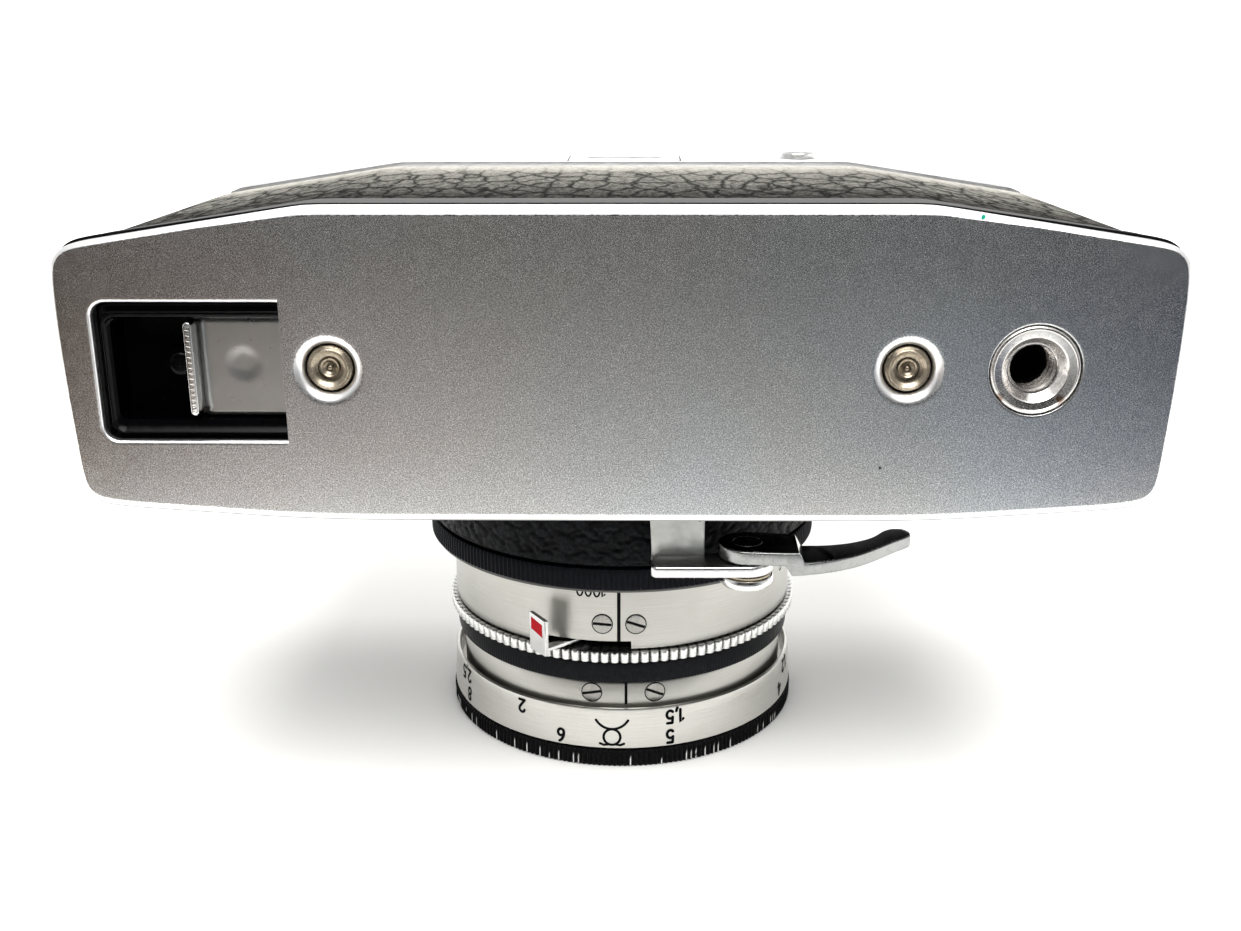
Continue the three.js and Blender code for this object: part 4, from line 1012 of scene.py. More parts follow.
def door_edge():
    """A black strip along the plate's rear edge, painted shade in the gap between plate and door, thicker towards its
    ends.
    """
    idx = [i for i, p in enumerate(SMOOTH) if p[1] > 76.3]
    n = len(SMOOTH)
    start = next(i for i in range(n) if i in idx and (i - 1) % n not in idx)
    run = []
    k = start
    while k in idx:
        run.append(k)
        k = (k + 1) % n
    P = []
    for a, i in enumerate(run):
        x = abs(SMOOTH[i][0])
        up = 0.13 + 0.22 * min(1.0, max(0.0, (x - 36) / 26))
        end = min(a, len(run) - 1 - a)
        up *= min(1.0, 0.15 + 0.3 * end)
        ring = [(1.2, -42.95), (1.2, -43.35), (0.15, -43.40), (-up + 0.05, -43.38), (-up, -43.30), (-up, -43.0), (-up + 0.08, -42.7), (0.2, -42.45), (0.9, -42.4), (1.2, -42.6)]
        P.append([((SMOOTH[i] - SMOOTH_N[i] * d)[0], y, (SMOOTH[i] - SMOOTH_N[i] * d)[1]) for d, y in ring])
    grid("back_door_black_edge", np.array(P), "slot_black", "back", (), cv=True, angle=40)


door_edge()
band("back_door_front_lip", "lip_grey", "back", (), 0.03, -42.36, -36.3, lambda p: p[1] >= 74.6 and -67.2 <= p[0] <= 65.9, r=0.22, close=1.1)
for nm, mat, x, z, r in (("plate_speck_black", "slot_black", 32.75, 50.0, 0.17), ("plate_speck_green", "marker_green", 43.1, 81.05, 0.27)):
    v, f = prism_arrays(circle2(x, z, r, 14), -45.99, -45.93, 0.01, "y", 1)
    emit(nm, v, f, mat, "camera", (), fix=True)


def in_back(p):
    return p[1] >= 74.6 and -67.2 <= p[0] <= 65.9


band("back_leather_skin", "leather_back", "back", "back_leather", 0.45, -37.6, 16.0, in_back)


band("side_leather_skin_left", "leather", "camera", "side_leather_left", 0.33, -42.9, 22.6, lambda p: p[0] < -31 and p[1] < 72.2)
band("side_leather_skin_right", "leather", "camera", "side_leather_right", 0.33, -42.9, 22.6, lambda p: p[0] > 31 and p[1] < 72.2)
refine("back_latch", 0.16, "satin_chrome")
# serrations on the latch, pushed by a fingertip
_v, _f = join_arrays([prism_arrays(np.array([(y, 63.9), (y + 0.45, 63.9), (y + 0.45, 68.1), (y, 68.1)]), -69.45, -69.2, 0.08, "x", 1) for y in np.arange(-4.2, 4.0, 0.95)])
emit("latch_serrations", _v, _f, "polished_chrome", "latch", (), fix=True)

# ------------------------------------------------------------------ lens
RAD = math.radians


def drum_leather():
    n, rows = 560, 46
    th = np.arange(n) * TAU / n - math.pi
    z = np.linspace(32.37, 42.98, rows)
    T, Z = np.meshgrid(th, z, indexing="ij")
    u, v = T * 29.7, Z
    rs = np.random.RandomState(11)
    # creased plates: second minus first distance to jittered points, periodic round the drum
    cu = TAU * 29.7 / 62
    cv = 2.35
    jx, jy = rs.rand(62, 16) * 0.86, rs.rand(62, 16) * 0.86
    uu = (u + math.pi * 29.7) / cu + 0.22 * np.sin(v * 2.1 + u * 0.9)
    vv = (v - 30) / cv + 0.20 * np.sin(u * 1.7 + 1.0)
    iu, iv = np.floor(uu).astype(int), np.floor(vv).astype(int)
    d1 = np.full(u.shape, 9.0)
    d2 = np.full(u.shape, 9.0)
    for a in (-2, -1, 0, 1, 2):
        for b in (-2, -1, 0, 1, 2):
            x = iu + a
            y = iv + b
            d = np.hypot(x + jx[x % 62, y % 16] - uu, y + jy[x % 62, y % 16] - vv)
            m = d < d1
            d2 = np.where(m, d1, np.minimum(d2, d))
            d1 = np.where(m, d, d1)
    crease = np.clip((d2 - d1) / 0.24, 0, 1)
    h = -0.30 * (1 - crease) ** 1.4 + 0.05 * np.sin(u * 3.1 + 2 * np.sin(v * 1.9)) * np.sin(v * 4.2 + 1.5 * np.sin(u * 1.3))
    edge = np.clip(np.minimum(z - 32.37, 42.98 - z) / 0.45, 0, 1)
    R = 29.83 + h * edge[None, :] - 0.30 * (1 - edge[None, :]) ** 2
    P = np.stack([R * np.sin(T), LENS_Y - R * np.cos(T), Z], -1)
    lip = P.copy()[:, :1]
    lip[:, 0, 0] = 29.2 * np.sin(th)
    lip[:, 0, 1] = LENS_Y - 29.2 * np.cos(th)
    # the crease attribute: how much painted shade goes into each crease
    dark = np.concatenate([np.zeros((n, 1)), np.clip((1 - crease) * 1.3 - 0.25, 0, 1)], 1)
    grid("drum_leather_skin", np.concatenate([lip, P], 1), "leather_drum", "camera", "drum_leather", True, False, np.append(th, math.pi) * 29.7, list(range(rows + 2)), attrs={"crease": dark.ravel()}, fix=False, angle=80)


drum_leather()


def ribs(count, amp, sharp=1.6, off=0.3):
    def f(th, j, r, z, k):
        g = 0.5 - 0.5 * np.cos(th * count)
        return r - k * amp * np.clip(g * sharp - off, 0, 1)

    return f


# lock ring: fine black ribs over a thin grey lower edge
_prof = [(26.1, 28.4), (29.15, 28.4), (29.42, 28.46), (29.5, 28.62), (29.5, 28.86), (29.42, 28.95), (29.84, 29.02, 0.6), (29.93, 29.16, 1), (29.95, 29.6, 1), (29.96, 31.4, 1), (29.93, 31.7, 1), (29.78, 31.94, 0.5), (29.4, 32.0), (26.1, 32.0)]
_fm = np.zeros((1500, len(_prof)), int)
_fm[:, 0:5] = 1
turn_z("lock_ring_ribbed", _prof, ["lock_black", "grey_metal"], "lock", "lock_ring", n=1500, rfun=ribs(250, 0.26), fm=_fm, angle=50)


def lens_barrel():
    a0, a1 = RAD(-26.5), RAD(3.5)
    base = list(np.arange(360) * TAU / 360 - math.pi)
    th = sorted([t for t in base if abs(t - a0) > 0.004 and abs(t - a1) > 0.004] + [a0 - 1e-5, a0 + 1e-5, a1 - 1e-5, a1 + 1e-5])
    th = np.array(th)
    prof = [(22.5, 18.5), (26.2, 18.5), (26.45, 18.56), (26.53, 18.7), (26.51, 19.68), (26.51, 19.74), (26.45, 22.5), (26.38, 25.0), (26.3, 27.3), (26.25, 28.1), (25.5, 28.3), (25.5, 31.8), (24.1, 31.9), (24.1, 34.0), (22.5, 34.0)]
    inslot = (th > a0) & (th < a1)

    def rfun(t, j, r, z, k):
        out = np.full(len(t), r, float)
        if 1 <= j <= 4:
            out[inslot] = 24.2
        return out

    # the slot's floor and walls take the black: painted shade in the slot
    fm = np.zeros((len(th), len(prof)), int)
    for j in range(0, 5):
        fm[:, j] = np.where(inslot | (np.roll(inslot, -1)), 1, 0)
    turn_z("lens_barrel_turned", prof, ["satin_silver", "slot_black"], "camera", "lens_barrel", thetas=th, rfun=rfun, fm=fm, angle=38)


lens_barrel()


def knurled_ring():
    n = 118
    ph = np.array([0.0, 0.10, 0.22, 0.34, 0.50, 0.66, 0.78, 0.90])
    g = np.array([1.0, 0.52, 0.20, 0.05, 0.0, 0.05, 0.20, 0.52])
    th = ((np.arange(n)[:, None] + ph[None, :]) * TAU / n - math.pi).ravel()
    gg = np.tile(g, n)
    prof = [(22.9, 16.6), (26.6, 16.6), (26.95, 16.6, 0.3), (27.30, 16.70, 1), (27.36, 16.82, 1), (27.36, 18.06, 1), (27.3, 18.2, 1), (26.95, 18.28, 0.3), (26.6, 18.3), (22.9, 18.3)]

    def rfun(t, j, r, z, k):
        return r - k * 0.62 * gg

    # painted shade in the valleys between the teeth
    dark = np.repeat(np.clip((gg - 0.25) / 0.5, 0, 1)[:, None], len(prof), 1)
    turn_z("aperture_ring_knurled", prof, "knurl_silver", "aperture", "aperture_ring", thetas=th, rfun=rfun, attrs={"painted_groove_shade": dark.ravel()}, angle=30)


knurled_ring()


def depth_band():
    prof = [(22.8, 13.0), (26.0, 13.0), (26.22, 13.04, 1), (26.30, 13.12, 1), (26.33, 13.30, 1), (26.36, 13.42), (26.36, 16.0), (26.3, 16.18), (26.1, 16.3), (22.8, 16.3)]
    turn_z("depth_band_black", prof, "black_ring", "aperture", "depth_band", n=1280, rfun=ribs(320, 0.16, 1.4, 0.2), angle=50)


depth_band()
turn_z("index_ring_turned", [(22.8, 6.2), (25.2, 6.2), (25.42, 6.4), (25.42, 12.4), (25.3, 12.62), (25.0, 12.7), (22.8, 12.7)], "satin_silver", "camera", "index_ring", n=360)
turn_z("focus_ring_turned", [(18.8, 2.96), (27.0, 2.96), (27.2, 3.05), (27.22, 3.2), (27.15, 4.5), (27.06, 6.0), (26.98, 7.5), (26.92, 8.9), (26.86, 9.08), (26.74, 9.14), (26.45, 9.15), (26.32, 9.05), (26.25, 8.6), (26.25, 5.6), (18.8, 5.6)],
       "focus_silver", "focus", "focus_ring", n=360)


def focus_grip():
    n_rib, per = 224, 6
    n = n_rib * per
    prof = [(24.0, 0.0), (26.9, 0.0), (27.15, 0.06, 0.5), (27.34, 0.22, 1), (27.39, 0.42, 1), (27.4, 0.8, 1), (27.4, 1.3, 1), (27.4, 1.9, 1), (27.38, 2.3, 1), (27.2, 2.5, 0.5), (27.0, 2.56), (26.7, 2.66), (24.0, 2.66)]
    rs = random.Random(3)
    # white marks on the crests of random ribs: worn crests, painted white as glints
    wear = np.zeros((n, len(prof)))
    for k in range(n_rib):
        if rs.random() < 0.34:
            s = rs.uniform(0.5, 1.0)
            i = k * per
            for j in (3, 4, 5, 6):
                if rs.random() < 0.85:
                    wear[i, j] = min(1.0, s * 1.3)
    turn_z("focus_grip_ribbed", prof, "grip_black", "focus", "focus_grip", n=n, rfun=ribs(n_rib, 0.34, 1.5, 0.2), attrs={"wear": wear.ravel()}, angle=50)


focus_grip()


def slotted_screw(name, node, ang, z, R, r, tilt, body="camera"):
    """Countersunk head flush with the ring; its slot and the gap round it are painted black as shade."""
    parts = []
    hw = 0.20

    def dshape(side):
        a0 = math.asin(hw / r)
        pts = []
        for i in range(19):
            a = a0 + (math.pi - 2 * a0) * i / 18
            pts.append((r * math.cos(a), side * r * math.sin(a)))
        return np.array(pts)

    for side in (1, -1):
        parts.append(prism_arrays(dshape(side), -0.30, 0.10, 0.045, "z"))
    nface = sum(len(f) for _, f in parts)
    # black disc under the two halves: painted shade seen through the slot
    parts.append(prism_arrays(circle2(0, 0, r * 0.98, 40), -0.55, 0.035, 0.02, "z", 1))
    v, f = join_arrays(parts)
    c, s = math.cos(RAD(tilt)), math.sin(RAD(tilt))
    sa, ca = math.sin(RAD(ang)), math.cos(RAD(ang))
    out = []
    for x, y, h in v:
        u, w = x * c - y * s, x * s + y * c
        rr = R + h
        out.append((rr * sa + u * ca, LENS_Y - rr * ca + u * sa, z + w))
    fmat = [0] * nface + [1] * (len(f) - nface)
    emit(name, out, f, ["small_screw", "slot_black"], body, node, fmat=fmat, angle=36, fix=True)
    # black ring round the head: painted shade in the gap at its seat
    ring = [(r + 0.01, 0.04), (r + 0.15, 0.04)]
    V, F = [], []
    m = 48
    for rr_, h in ring:
        for i in range(m):
            a = TAU * i / m
            u, w = rr_ * math.cos(a), rr_ * math.sin(a)
            rad = math.sqrt(max(R * R - u * u, 0)) - R + h
            rr = R + rad
            V.append((rr * sa + u * ca, LENS_Y - rr * ca + u * sa, z + w))
    for i in range(m):
        j = (i + 1) % m
        F.append([i, j, m + j, m + i])
    emit(name + "_seat", V, F, "slot_black", body, (), angle=36)


slotted_screw("barrel_screw_slotted_left", "barrel_screw_left", -5.4, 22.35, 26.45, 1.38, -3)
slotted_screw("barrel_screw_slotted_right", "barrel_screw_right", 4.95, 22.35, 26.45, 1.38, -20)
slotted_screw("index_screw_slotted_left", "index_screw_left", -9.3, 11.0, 25.42, 1.40, 12)
slotted_screw("index_screw_slotted_right", "index_screw_right", 11.5, 11.0, 25.42, 1.40, -24)


# ------------------------------------------------------------------ markings
def wrapped(name, V2, F, ang, z, rf, mat, body, rot=True, lift=0.03):
    """A flat drawing in mm laid on a ring; rf gives the ring's radius at a height."""
    out = []
    for x, y in V2:
        if rot:
            x, y = -x, -y
        zz = z + y
        R = rf(zz) + lift
        a = RAD(ang) + x / R
        out.append((R * math.sin(a), LENS_Y - R * math.cos(a), zz))
    return emit(name, out, F, mat, body, (), smooth=False)


def strokes_mesh(lines, w):
    """Round-ended strokes of width w along polylines, as flat vertices and faces."""
    V, F = [], []
    for line in lines:
        L = np.array(line, float)
        T = np.gradient(L, axis=0)
        T /= np.linalg.norm(T, axis=1)[:, None] + 1e-9
        nn = np.stack([-T[:, 1], T[:, 0]], 1)
        k0 = len(V)
        for p, q in zip(L, nn):
            V += [tuple(p + q * w / 2), tuple(p - q * w / 2)]
        for i in range(len(L) - 1):
            F.append([k0 + 2 * i, k0 + 2 * i + 1, k0 + 2 * i + 3, k0 + 2 * i + 2])
        for p in (L[0], L[-1]):
            k1 = len(V)
            V += [tuple(c) for c in circle2(p[0], p[1], w / 2, 14)]
            F.append([k1 + i for i in range(14)])
    return V, F


def arc(cx, cy, rx, ry, a0, a1, n=14):
    return [(cx + rx * math.cos(RAD(a0 + (a1 - a0) * i / n)), cy + ry * math.sin(RAD(a0 + (a1 - a0) * i / n))) for i in range(n + 1)]


# simple engraved digits, one unit high and about 0.55 wide
DIGIT = {
    "0": [arc(0.27, 0.5, 0.25, 0.48, 0, 360, 28)],
    "1": [[(0.08, 0.76), (0.30, 0.98), (0.30, 0.5), (0.30, 0.02)]],
    "2": [arc(0.27, 0.72, 0.23, 0.25, 165, -25, 12) + [(0.30, 0.35), (0.06, 0.03)], [(0.05, 0.03), (0.3, 0.03), (0.53, 0.03)]],
    "4": [[(0.42, 0.02), (0.42, 0.5), (0.42, 0.98)], [(0.42, 0.98), (0.22, 0.6), (0.02, 0.27)], [(0.02, 0.27), (0.3, 0.27), (0.56, 0.27)]],
    "5": [[(0.48, 0.97), (0.28, 0.97), (0.10, 0.97)], [(0.10, 0.97), (0.09, 0.76), (0.08, 0.56)], arc(0.26, 0.32, 0.25, 0.30, 138, -140, 16)],
    "6": [arc(0.28, 0.27, 0.22, 0.25, 0, 360, 24), arc(0.52, 0.30, 0.46, 0.68, 180, 108, 12)],
    "8": [arc(0.27, 0.73, 0.19, 0.23, 0, 360, 22), arc(0.27, 0.26, 0.23, 0.25, 0, 360, 22)],
    "3": [arc(0.25, 0.74, 0.22, 0.23, 140, -85, 12), arc(0.25, 0.27, 0.25, 0.26, 85, -145, 14)],
    "7": [[(0.04, 0.97), (0.3, 0.97), (0.52, 0.97)], [(0.52, 0.97), (0.34, 0.5), (0.20, 0.02)]],
    "9": [arc(0.26, 0.73, 0.22, 0.25, 0, 360, 24), arc(0.02, 0.70, 0.46, 0.68, 0, -72, 12)],
    ",": [[(0.10, 0.10), (0.08, 0.0), (0.02, -0.14)]],
    "S": [arc(0.27, 0.74, 0.21, 0.23, 30, 270, 14) + arc(0.27, 0.27, 0.22, 0.25, 90, -150, 14)[1:]],
    "/": [[(0.05, 0.0), (0.25, 0.5), (0.45, 1.0)]],
}


def text_lines(text, h, w=None):
    x = 0.0
    lines = []
    for ch in text:
        adv = {",": 0.30, "1": 0.50}.get(ch, 0.74)
        for s in DIGIT[ch]:
            lines.append([((x + a) * h, (b - 0.5) * h) for a, b in s])
        x += adv
    total = (x - 0.17) * h
    return [[(a - total / 2, b) for a, b in s] for s in lines]


def focus_r(z):
    return float(np.interp(z, [3.2, 4.5, 6.0, 7.5, 8.9], [27.22, 27.15, 27.06, 26.98, 26.92]))


for k, (txt, a, z, h) in enumerate((("1,5", 17.3, 7.50, 1.95), ("2", -32.6, 7.50, 1.95), ("2,5", -62.7, 7.50, 1.95), ("1,2", 71.8, 7.50, 1.95), ("3", -96, 7.5, 1.95), ("4", -124, 7.5, 1.95), ("8", -160, 7.5, 1.95), ("1", 100, 7.5, 1.95),
                                    ("5", 15.6, 4.42, 1.95), ("6", -18.6, 4.35, 1.95), ("8", -60.0, 4.6, 1.95), ("4", 65.5, 4.6, 1.95), ("12", -116, 4.5, 1.95), ("3", 108, 4.5, 1.95))):
    v, f = strokes_mesh(text_lines(txt, h * 1.05), 0.44)
    wrapped(f"distance_number_{k}", v, f, a, z, focus_r, "ink", "focus", True)

# generic near-range symbol: a plain round head over shoulders, upside down to the viewer like the numbers
_sym = [arc(0, -0.95, 1.22, 1.22, 0, 360, 40)] + [arc(0, 3.2, 2.75, 2.9, 212, 328, 20)] + [[(-1.75, -2.0), (-1.2, -2.22), (-0.5, -2.1)], [(0.5, -2.1), (1.2, -2.22), (1.75, -2.0)]]
_v, _f = strokes_mesh([[(x, -y) for x, y in s] for s in _sym], 0.38)
wrapped("portrait_range_symbol", _v, _f, -2.45, 5.75, focus_r, "ink", "focus", True)


def bar_mark(name, ang, w, z0, z1, rf, mat, body):
    nz = 8
    V, F = [], []
    for i in range(nz + 1):
        z = z0 + (z1 - z0) * i / nz
        for s in (-1, -0.33, 0.33, 1):
            V.append((s * w / 2, z))
    for i in range(nz):
        for j in range(3):
            F.append([4 * i + j, 4 * i + j + 1, 4 * i + j + 5, 4 * i + j + 4])
    wrapped(name, V, F, ang, 0.0, rf, mat, body, False)


def barrel_r(z):
    return float(np.interp(z, [18.7, 19.74, 22.5, 25.0, 27.3, 28.1], [26.53, 26.51, 26.45, 26.38, 26.3, 26.25]))


bar_mark("barrel_index_line", -0.30, 0.50, 19.72, 28.1, barrel_r, "ink", "camera")
bar_mark("lens_index_line", 1.95, 0.42, 9.2, 12.66, lambda z: 25.42, "ink", "camera")
_v, _f = strokes_mesh(text_lines("1000", 1.65), 0.27)
wrapped("speed_number_1000", _v, _f, -8.9, 27.25, barrel_r, "ink", "camera", True)
for k, (txt, a) in enumerate((("5", 66.5), ("8", 84.0), ("4", 104.0))):
    _v, _f = strokes_mesh(text_lines(txt, 1.7), 0.26)
    wrapped(f"scale_number_{k}", _v, _f, a, 25.2, barrel_r, "ink", "camera", True)

# ------------------------------------------------------------------ flash-timing flag
_arm = prism_arrays(np.array([(-4.7, -29.9), (-5.8, -28.8), (-11.9, -33.9), (-11.0, -35.0)]), 18.9, 19.42, 0.10, "z", 2)
_a, _b = np.array([-12.75, -33.05]), np.array([-10.35, -35.85])
_d = (_b - _a) / np.linalg.norm(_b - _a)
_n = np.array([_d[1], -_d[0]])
_n = _n if _n[1] < 0 else -_n
_L = np.linalg.norm(_b - _a)


def flag_plate():
    """A bent-up plate whose top edge falls a little towards the viewer."""
    V, F = [], []
    e = 0.07
    zt = (24.55, 24.15)
    ring = [(e, 0), (_L - e, 0), (_L, e), (_L, 0.6 - e), (_L - e, 0.6), (e, 0.6), (0, 0.6 - e), (0, e)]
    for zk in (0, 1, 2, 3):
        for u, w in ring:
            p = _a + _d * u - _n * w
            top = zt[0] + (zt[1] - zt[0]) * u / _L
            z = (18.9, 18.98, top - e, top)[zk]
            c = _a + _d * _L / 2 - _n * 0.3
            if zk in (0, 3):
                p = p + (c - p) * 0.03
            V.append((p[0], p[1], z))
    m = len(ring)
    for k in range(3):
        for i in range(m):
            j = (i + 1) % m
            F.append([k * m + i, k * m + j, (k + 1) * m + j, (k + 1) * m + i])
    F.append(list(range(m))[::-1])
    F.append([3 * m + i for i in range(m)])
    return V, F


_v, _f = join_arrays([_arm, flag_plate()])
emit("sync_lever_bent", _v, _f, "polished_chrome", "sync", "sync_lever", angle=36, fix=True)
# red field on the flag's outer face, over its upper half
_p0, _p1 = _a + _d * 0.42 + _n * 0.02, _a + _d * (_L - 0.72) + _n * 0.02
_V = []
for p, zl, zh in ((_p0, 22.15, 23.95), (_p1, 21.55, 23.45)):
    _V += [(p[0], p[1], zl), (p[0], p[1], zh)]
_q = _n * 0.05
_V += [(x - _q[0], y - _q[1], z) for x, y, z in _V]
emit("flag_red_field", _V, [[0, 2, 3, 1], [4, 5, 7, 6], [0, 1, 5, 4], [2, 6, 7, 3], [0, 4, 6, 2], [1, 3, 7, 5]], "red", "sync", (), smooth=False, fix=True)


# ------------------------------------------------------------------ bracket, lever screw, washer, wind lever
def lever_bracket():
    px, py = 17.2, -37.6
    pts = [(4.6, -36.5)]
    for cx, cy, r, a0, a1 in ((4.2 + 0.9, -41.3 + 0.9, 0.9, 180, 270),):
        pts += [(cx + r * math.cos(RAD(a)), cy + r * math.sin(RAD(a))) for a in np.linspace(a0, a1, 9)]
    pts += [(11, -41.28), (px - 0.5, -41.2)]
    pts += [(px + 3.6 * math.cos(RAD(a)), py + 3.6 * math.sin(RAD(a))) for a in np.linspace(-88, 88, 24)]
    pts += [(15.5, -34.6), (11.5, -36.4)]
    flange = prism_arrays(np.array(pts), 33.0, 34.7, 0.42, "z", 4)
    # strap: wider at its top, its left edge flaring in a shallow curve
    nz = 24
    V, F = [], []
    for i in range(nz + 1):
        t = i / nz
        z = 34.2 + (43.8 - 34.2) * t
        xl = 4.38 - 0.50 * t ** 1.3 - 0.10 * math.exp(-t * 30)
        xr = 11.5
        bend = 0.35 * math.exp(-t * 9.6 / 0.35)
        y0, y1 = -37.4 - bend, -36.5
        e = 0.16
        for x, y in ((xl + e, y0), (xr - e, y0), (xr - e * 0.3, y0 + e * 0.3), (xr, y0 + e), (xr, y1), (xl, y1), (xl, y0 + e), (xl + e * 0.3, y0 + e * 0.3)):
            V.append((x, y, z))
    for i in range(nz):
        for j in range(8):
            k = (j + 1) % 8
            F.append([8 * i + j, 8 * i + k, 8 * i + 8 + k, 8 * i + 8 + j])
    F.append(list(range(8)))
    F.append([8 * nz + j for j in range(8)][::-1])
    v, f = join_arrays([flange, (V, F)])
    nfl = len(flange[1])
    cen = [np.mean([v[i] for i in q], axis=0) for q in f]
    fm = [1 if (k < nfl and c[1] < -40.2) or (k < nfl and c[0] > 17.5) else 0 for k, c in enumerate(cen)]
    emit("lever_bracket_formed", v, f, ["dull_chrome", "polished_chrome"], "camera", "lever_bracket", fmat=fm, angle=38, fix=True)


lever_bracket()
turn_z("lever_screw_head", [(0.001, 30.98), (1.2, 31.0), (3.1, 31.05), (3.45, 31.15), (3.62, 31.4), (3.65, 31.7), (3.62, 32.2), (3.5, 32.42), (3.2, 32.5), (1.4, 32.5), (1.4, 36.6), (0.001, 36.6)],
       "clean_chrome", "camera", "lever_screw", n=96, closed=False, cx=17.2, cy=-37.6)
turn_z("lever_washer_ring", [(1.75, 32.55), (3.2, 32.55), (3.32, 32.62), (3.32, 32.84), (3.2, 32.9), (1.75, 32.9)], "nickel", "camera", "lever_washer", n=72, cx=17.2, cy=-37.6)


def wind_lever():
    px, py, R = 17.2, -37.6, 3.9
    st = []
    for a in np.linspace(0, 90, 15):
        x = px - R * math.cos(RAD(a))
        h = R * math.sin(RAD(a)) + 0.02
        st.append(((x, py - h), (x, py + h)))
    inner = [((17.9, -41.55), (18.0, -33.72)), ((19.2, -41.68), (19.4, -33.85)), ((20.6, -41.80), (20.8, -34.05)), ((22.0, -41.86), (22.2, -34.32)), ((22.9, -41.86), (23.1, -34.5)),
             ((23.3, -41.84), (23.5, -34.58)), ((23.7, -41.80), (23.9, -34.68)), ((24.1, -41.74), (24.3, -34.80)), ((24.5, -41.66), (24.7, -34.90))]
    st += inner
    front = np.array([(24.9, -41.56), (27, -41.0), (29.6, -39.95), (32.3, -38.2), (35.1, -35.65), (38.2, -32.5), (39.6, -31.2), (40.35, -30.45)])
    rear = np.array([(25.1, -34.98), (27.8, -34.85), (30.4, -34.25), (33.1, -32.8), (35.2, -31.0), (37.1, -28.4), (38.4, -27.35), (39.5, -27.3)])

    def spline(P, m):
        d = np.concatenate([[0], np.cumsum(np.linalg.norm(np.diff(P, axis=0), axis=1))])
        out = []
        for s in np.linspace(0, d[-1], m):
            i = min(max(np.searchsorted(d, s) - 1, 0), len(P) - 2)
            t = (s - d[i]) / (d[i + 1] - d[i])
            p0, p1, p2, p3 = P[max(i - 1, 0)], P[i], P[i + 1], P[min(i + 2, len(P) - 1)]
            out.append(0.5 * (2 * p1 + (p2 - p0) * t + (2 * p0 - 5 * p1 + 4 * p2 - p3) * t * t + (3 * p1 - p0 - 3 * p2 + p3) * t ** 3))
        return np.array(out)

    A, B = spline(front, 34), spline(rear, 34)
    st += [(tuple(a), tuple(b)) for a, b in zip(A, B)]
    # round tip
    mid = (A[-1] + B[-1]) / 2
    half = np.linalg.norm(A[-1] - B[-1]) / 2
    d = (B[-1] - A[-1]) / (2 * half)
    out = np.array([d[1], -d[0]])
    for a in (25, 45, 62, 75, 85):
        c = mid + out * half * 0.46 * math.sin(RAD(a))
        hh = half * math.cos(RAD(a))
        st.append((tuple(c - d * hh), tuple(c + d * hh)))
    P = []
    for (fx, fy), (bx, by) in st:
        x = (fx + bx) / 2
        top = 36.95 - 1.5 * min(1, max(0, (x - 24.0) / 0.45)) - 0.35 * min(1, max(0, (x - 30) / 9))
        bot = 35.0 - 1.4 * min(1, max(0, (x - 22.2) / 0.5)) - 0.35 * min(1, max(0, (x - 30) / 9))
        s = top - bot
        w = math.hypot(bx - fx, by - fy)
        rc = min(0.34, w * 0.45)
        f, b = np.array([fx, fy]), np.array([bx, by])
        u = (b - f) / max(w, 1e-6)
        ring = []
        for cx, cz, a0 in ((rc, bot + rc, 180), (w - rc, bot + rc, 270), (w - rc, top - rc, 0), (rc, top - rc, 90)):
            for i in range(6):
                a = RAD(a0 + 90 * i / 5)
                q = f + u * (cx + rc * math.cos(a))
                ring.append((q[0], q[1], cz + rc * math.sin(a)))
        P.append(ring)
    P = np.array(P)
    V = P.reshape(-1, 3).tolist()
    m = P.shape[1]
    Fq, _, _ = grid_faces(len(P), m, False, True)
    F = Fq.reshape(-1, 4).tolist()
    F.append(list(range(m))[::-1])
    F.append([(len(P) - 1) * m + i for i in range(m)])
    # the two middle corners of each section bound its upward face
    # the upward face takes the near-black lever_top material: a painted dark reflection
    fm = [1 if len(q) == 4 and {q[0] % m, q[1] % m, q[2] % m, q[3] % m} == {17, 18} else 0 for q in F]
    emit("wind_lever_formed", V, F, ["lever_chrome", "lever_top"], "wind", "wind_lever", fmat=fm, angle=34, fix=True)
    turn_z("wind_lever_pivot_ring", [(1.86, 36.93), (1.90, 36.985), (2.00, 36.985), (2.04, 36.93)], "lever_chrome", "wind", (), n=64, closed=True, cx=px, cy=py)


wind_lever()

# ------------------------------------------------------------------ top cover and its fittings
refine("top_cover", 0.22, "cover_chrome", angle=32)
refine("accessory_shoe", 0.14, "polished_chrome")
refine("eyepiece_frame", 0.22, "frame_chrome")
refine("strap_lug_left", 0.22, "polished_chrome")
refine("strap_lug_right", 0.22, "polished_chrome")
refine("meter_window", 0.10, "amber_glass")
turn_y("release_collar_turned", [(2.9, 41.7), (5.1, 41.7), (5.2, 41.85), (5.2, 42.7), (5.0, 43.0), (4.4, 43.15), (4.2, 43.38), (3.3, 43.4), (2.95, 43.25), (2.9, 43.0)], 45, 59, "clean_chrome", "camera", "release_collar", n=96, closed=True)
turn_y("release_button_turned", [(3.9, 37.0), (3.9, 39.2), (2.6, 39.2), (2.6, 44.3), (2.5, 44.7), (2.25, 44.95), (1.6, 44.98), (1.1, 44.8), (0.9, 44.4), (0.85, 43.6), (0.001, 43.6)], 45, 59, "clean_chrome", "release", "release_button", n=72)
turn_y("counter_dial_disc", [(0.001, 37.75), (0.6, 37.8), (6.1, 37.8), (6.2, 37.7), (6.2, 36.8), (0.001, 36.8)], 57.5, 60, "black_ring", "counter", "counter_dial", n=96)
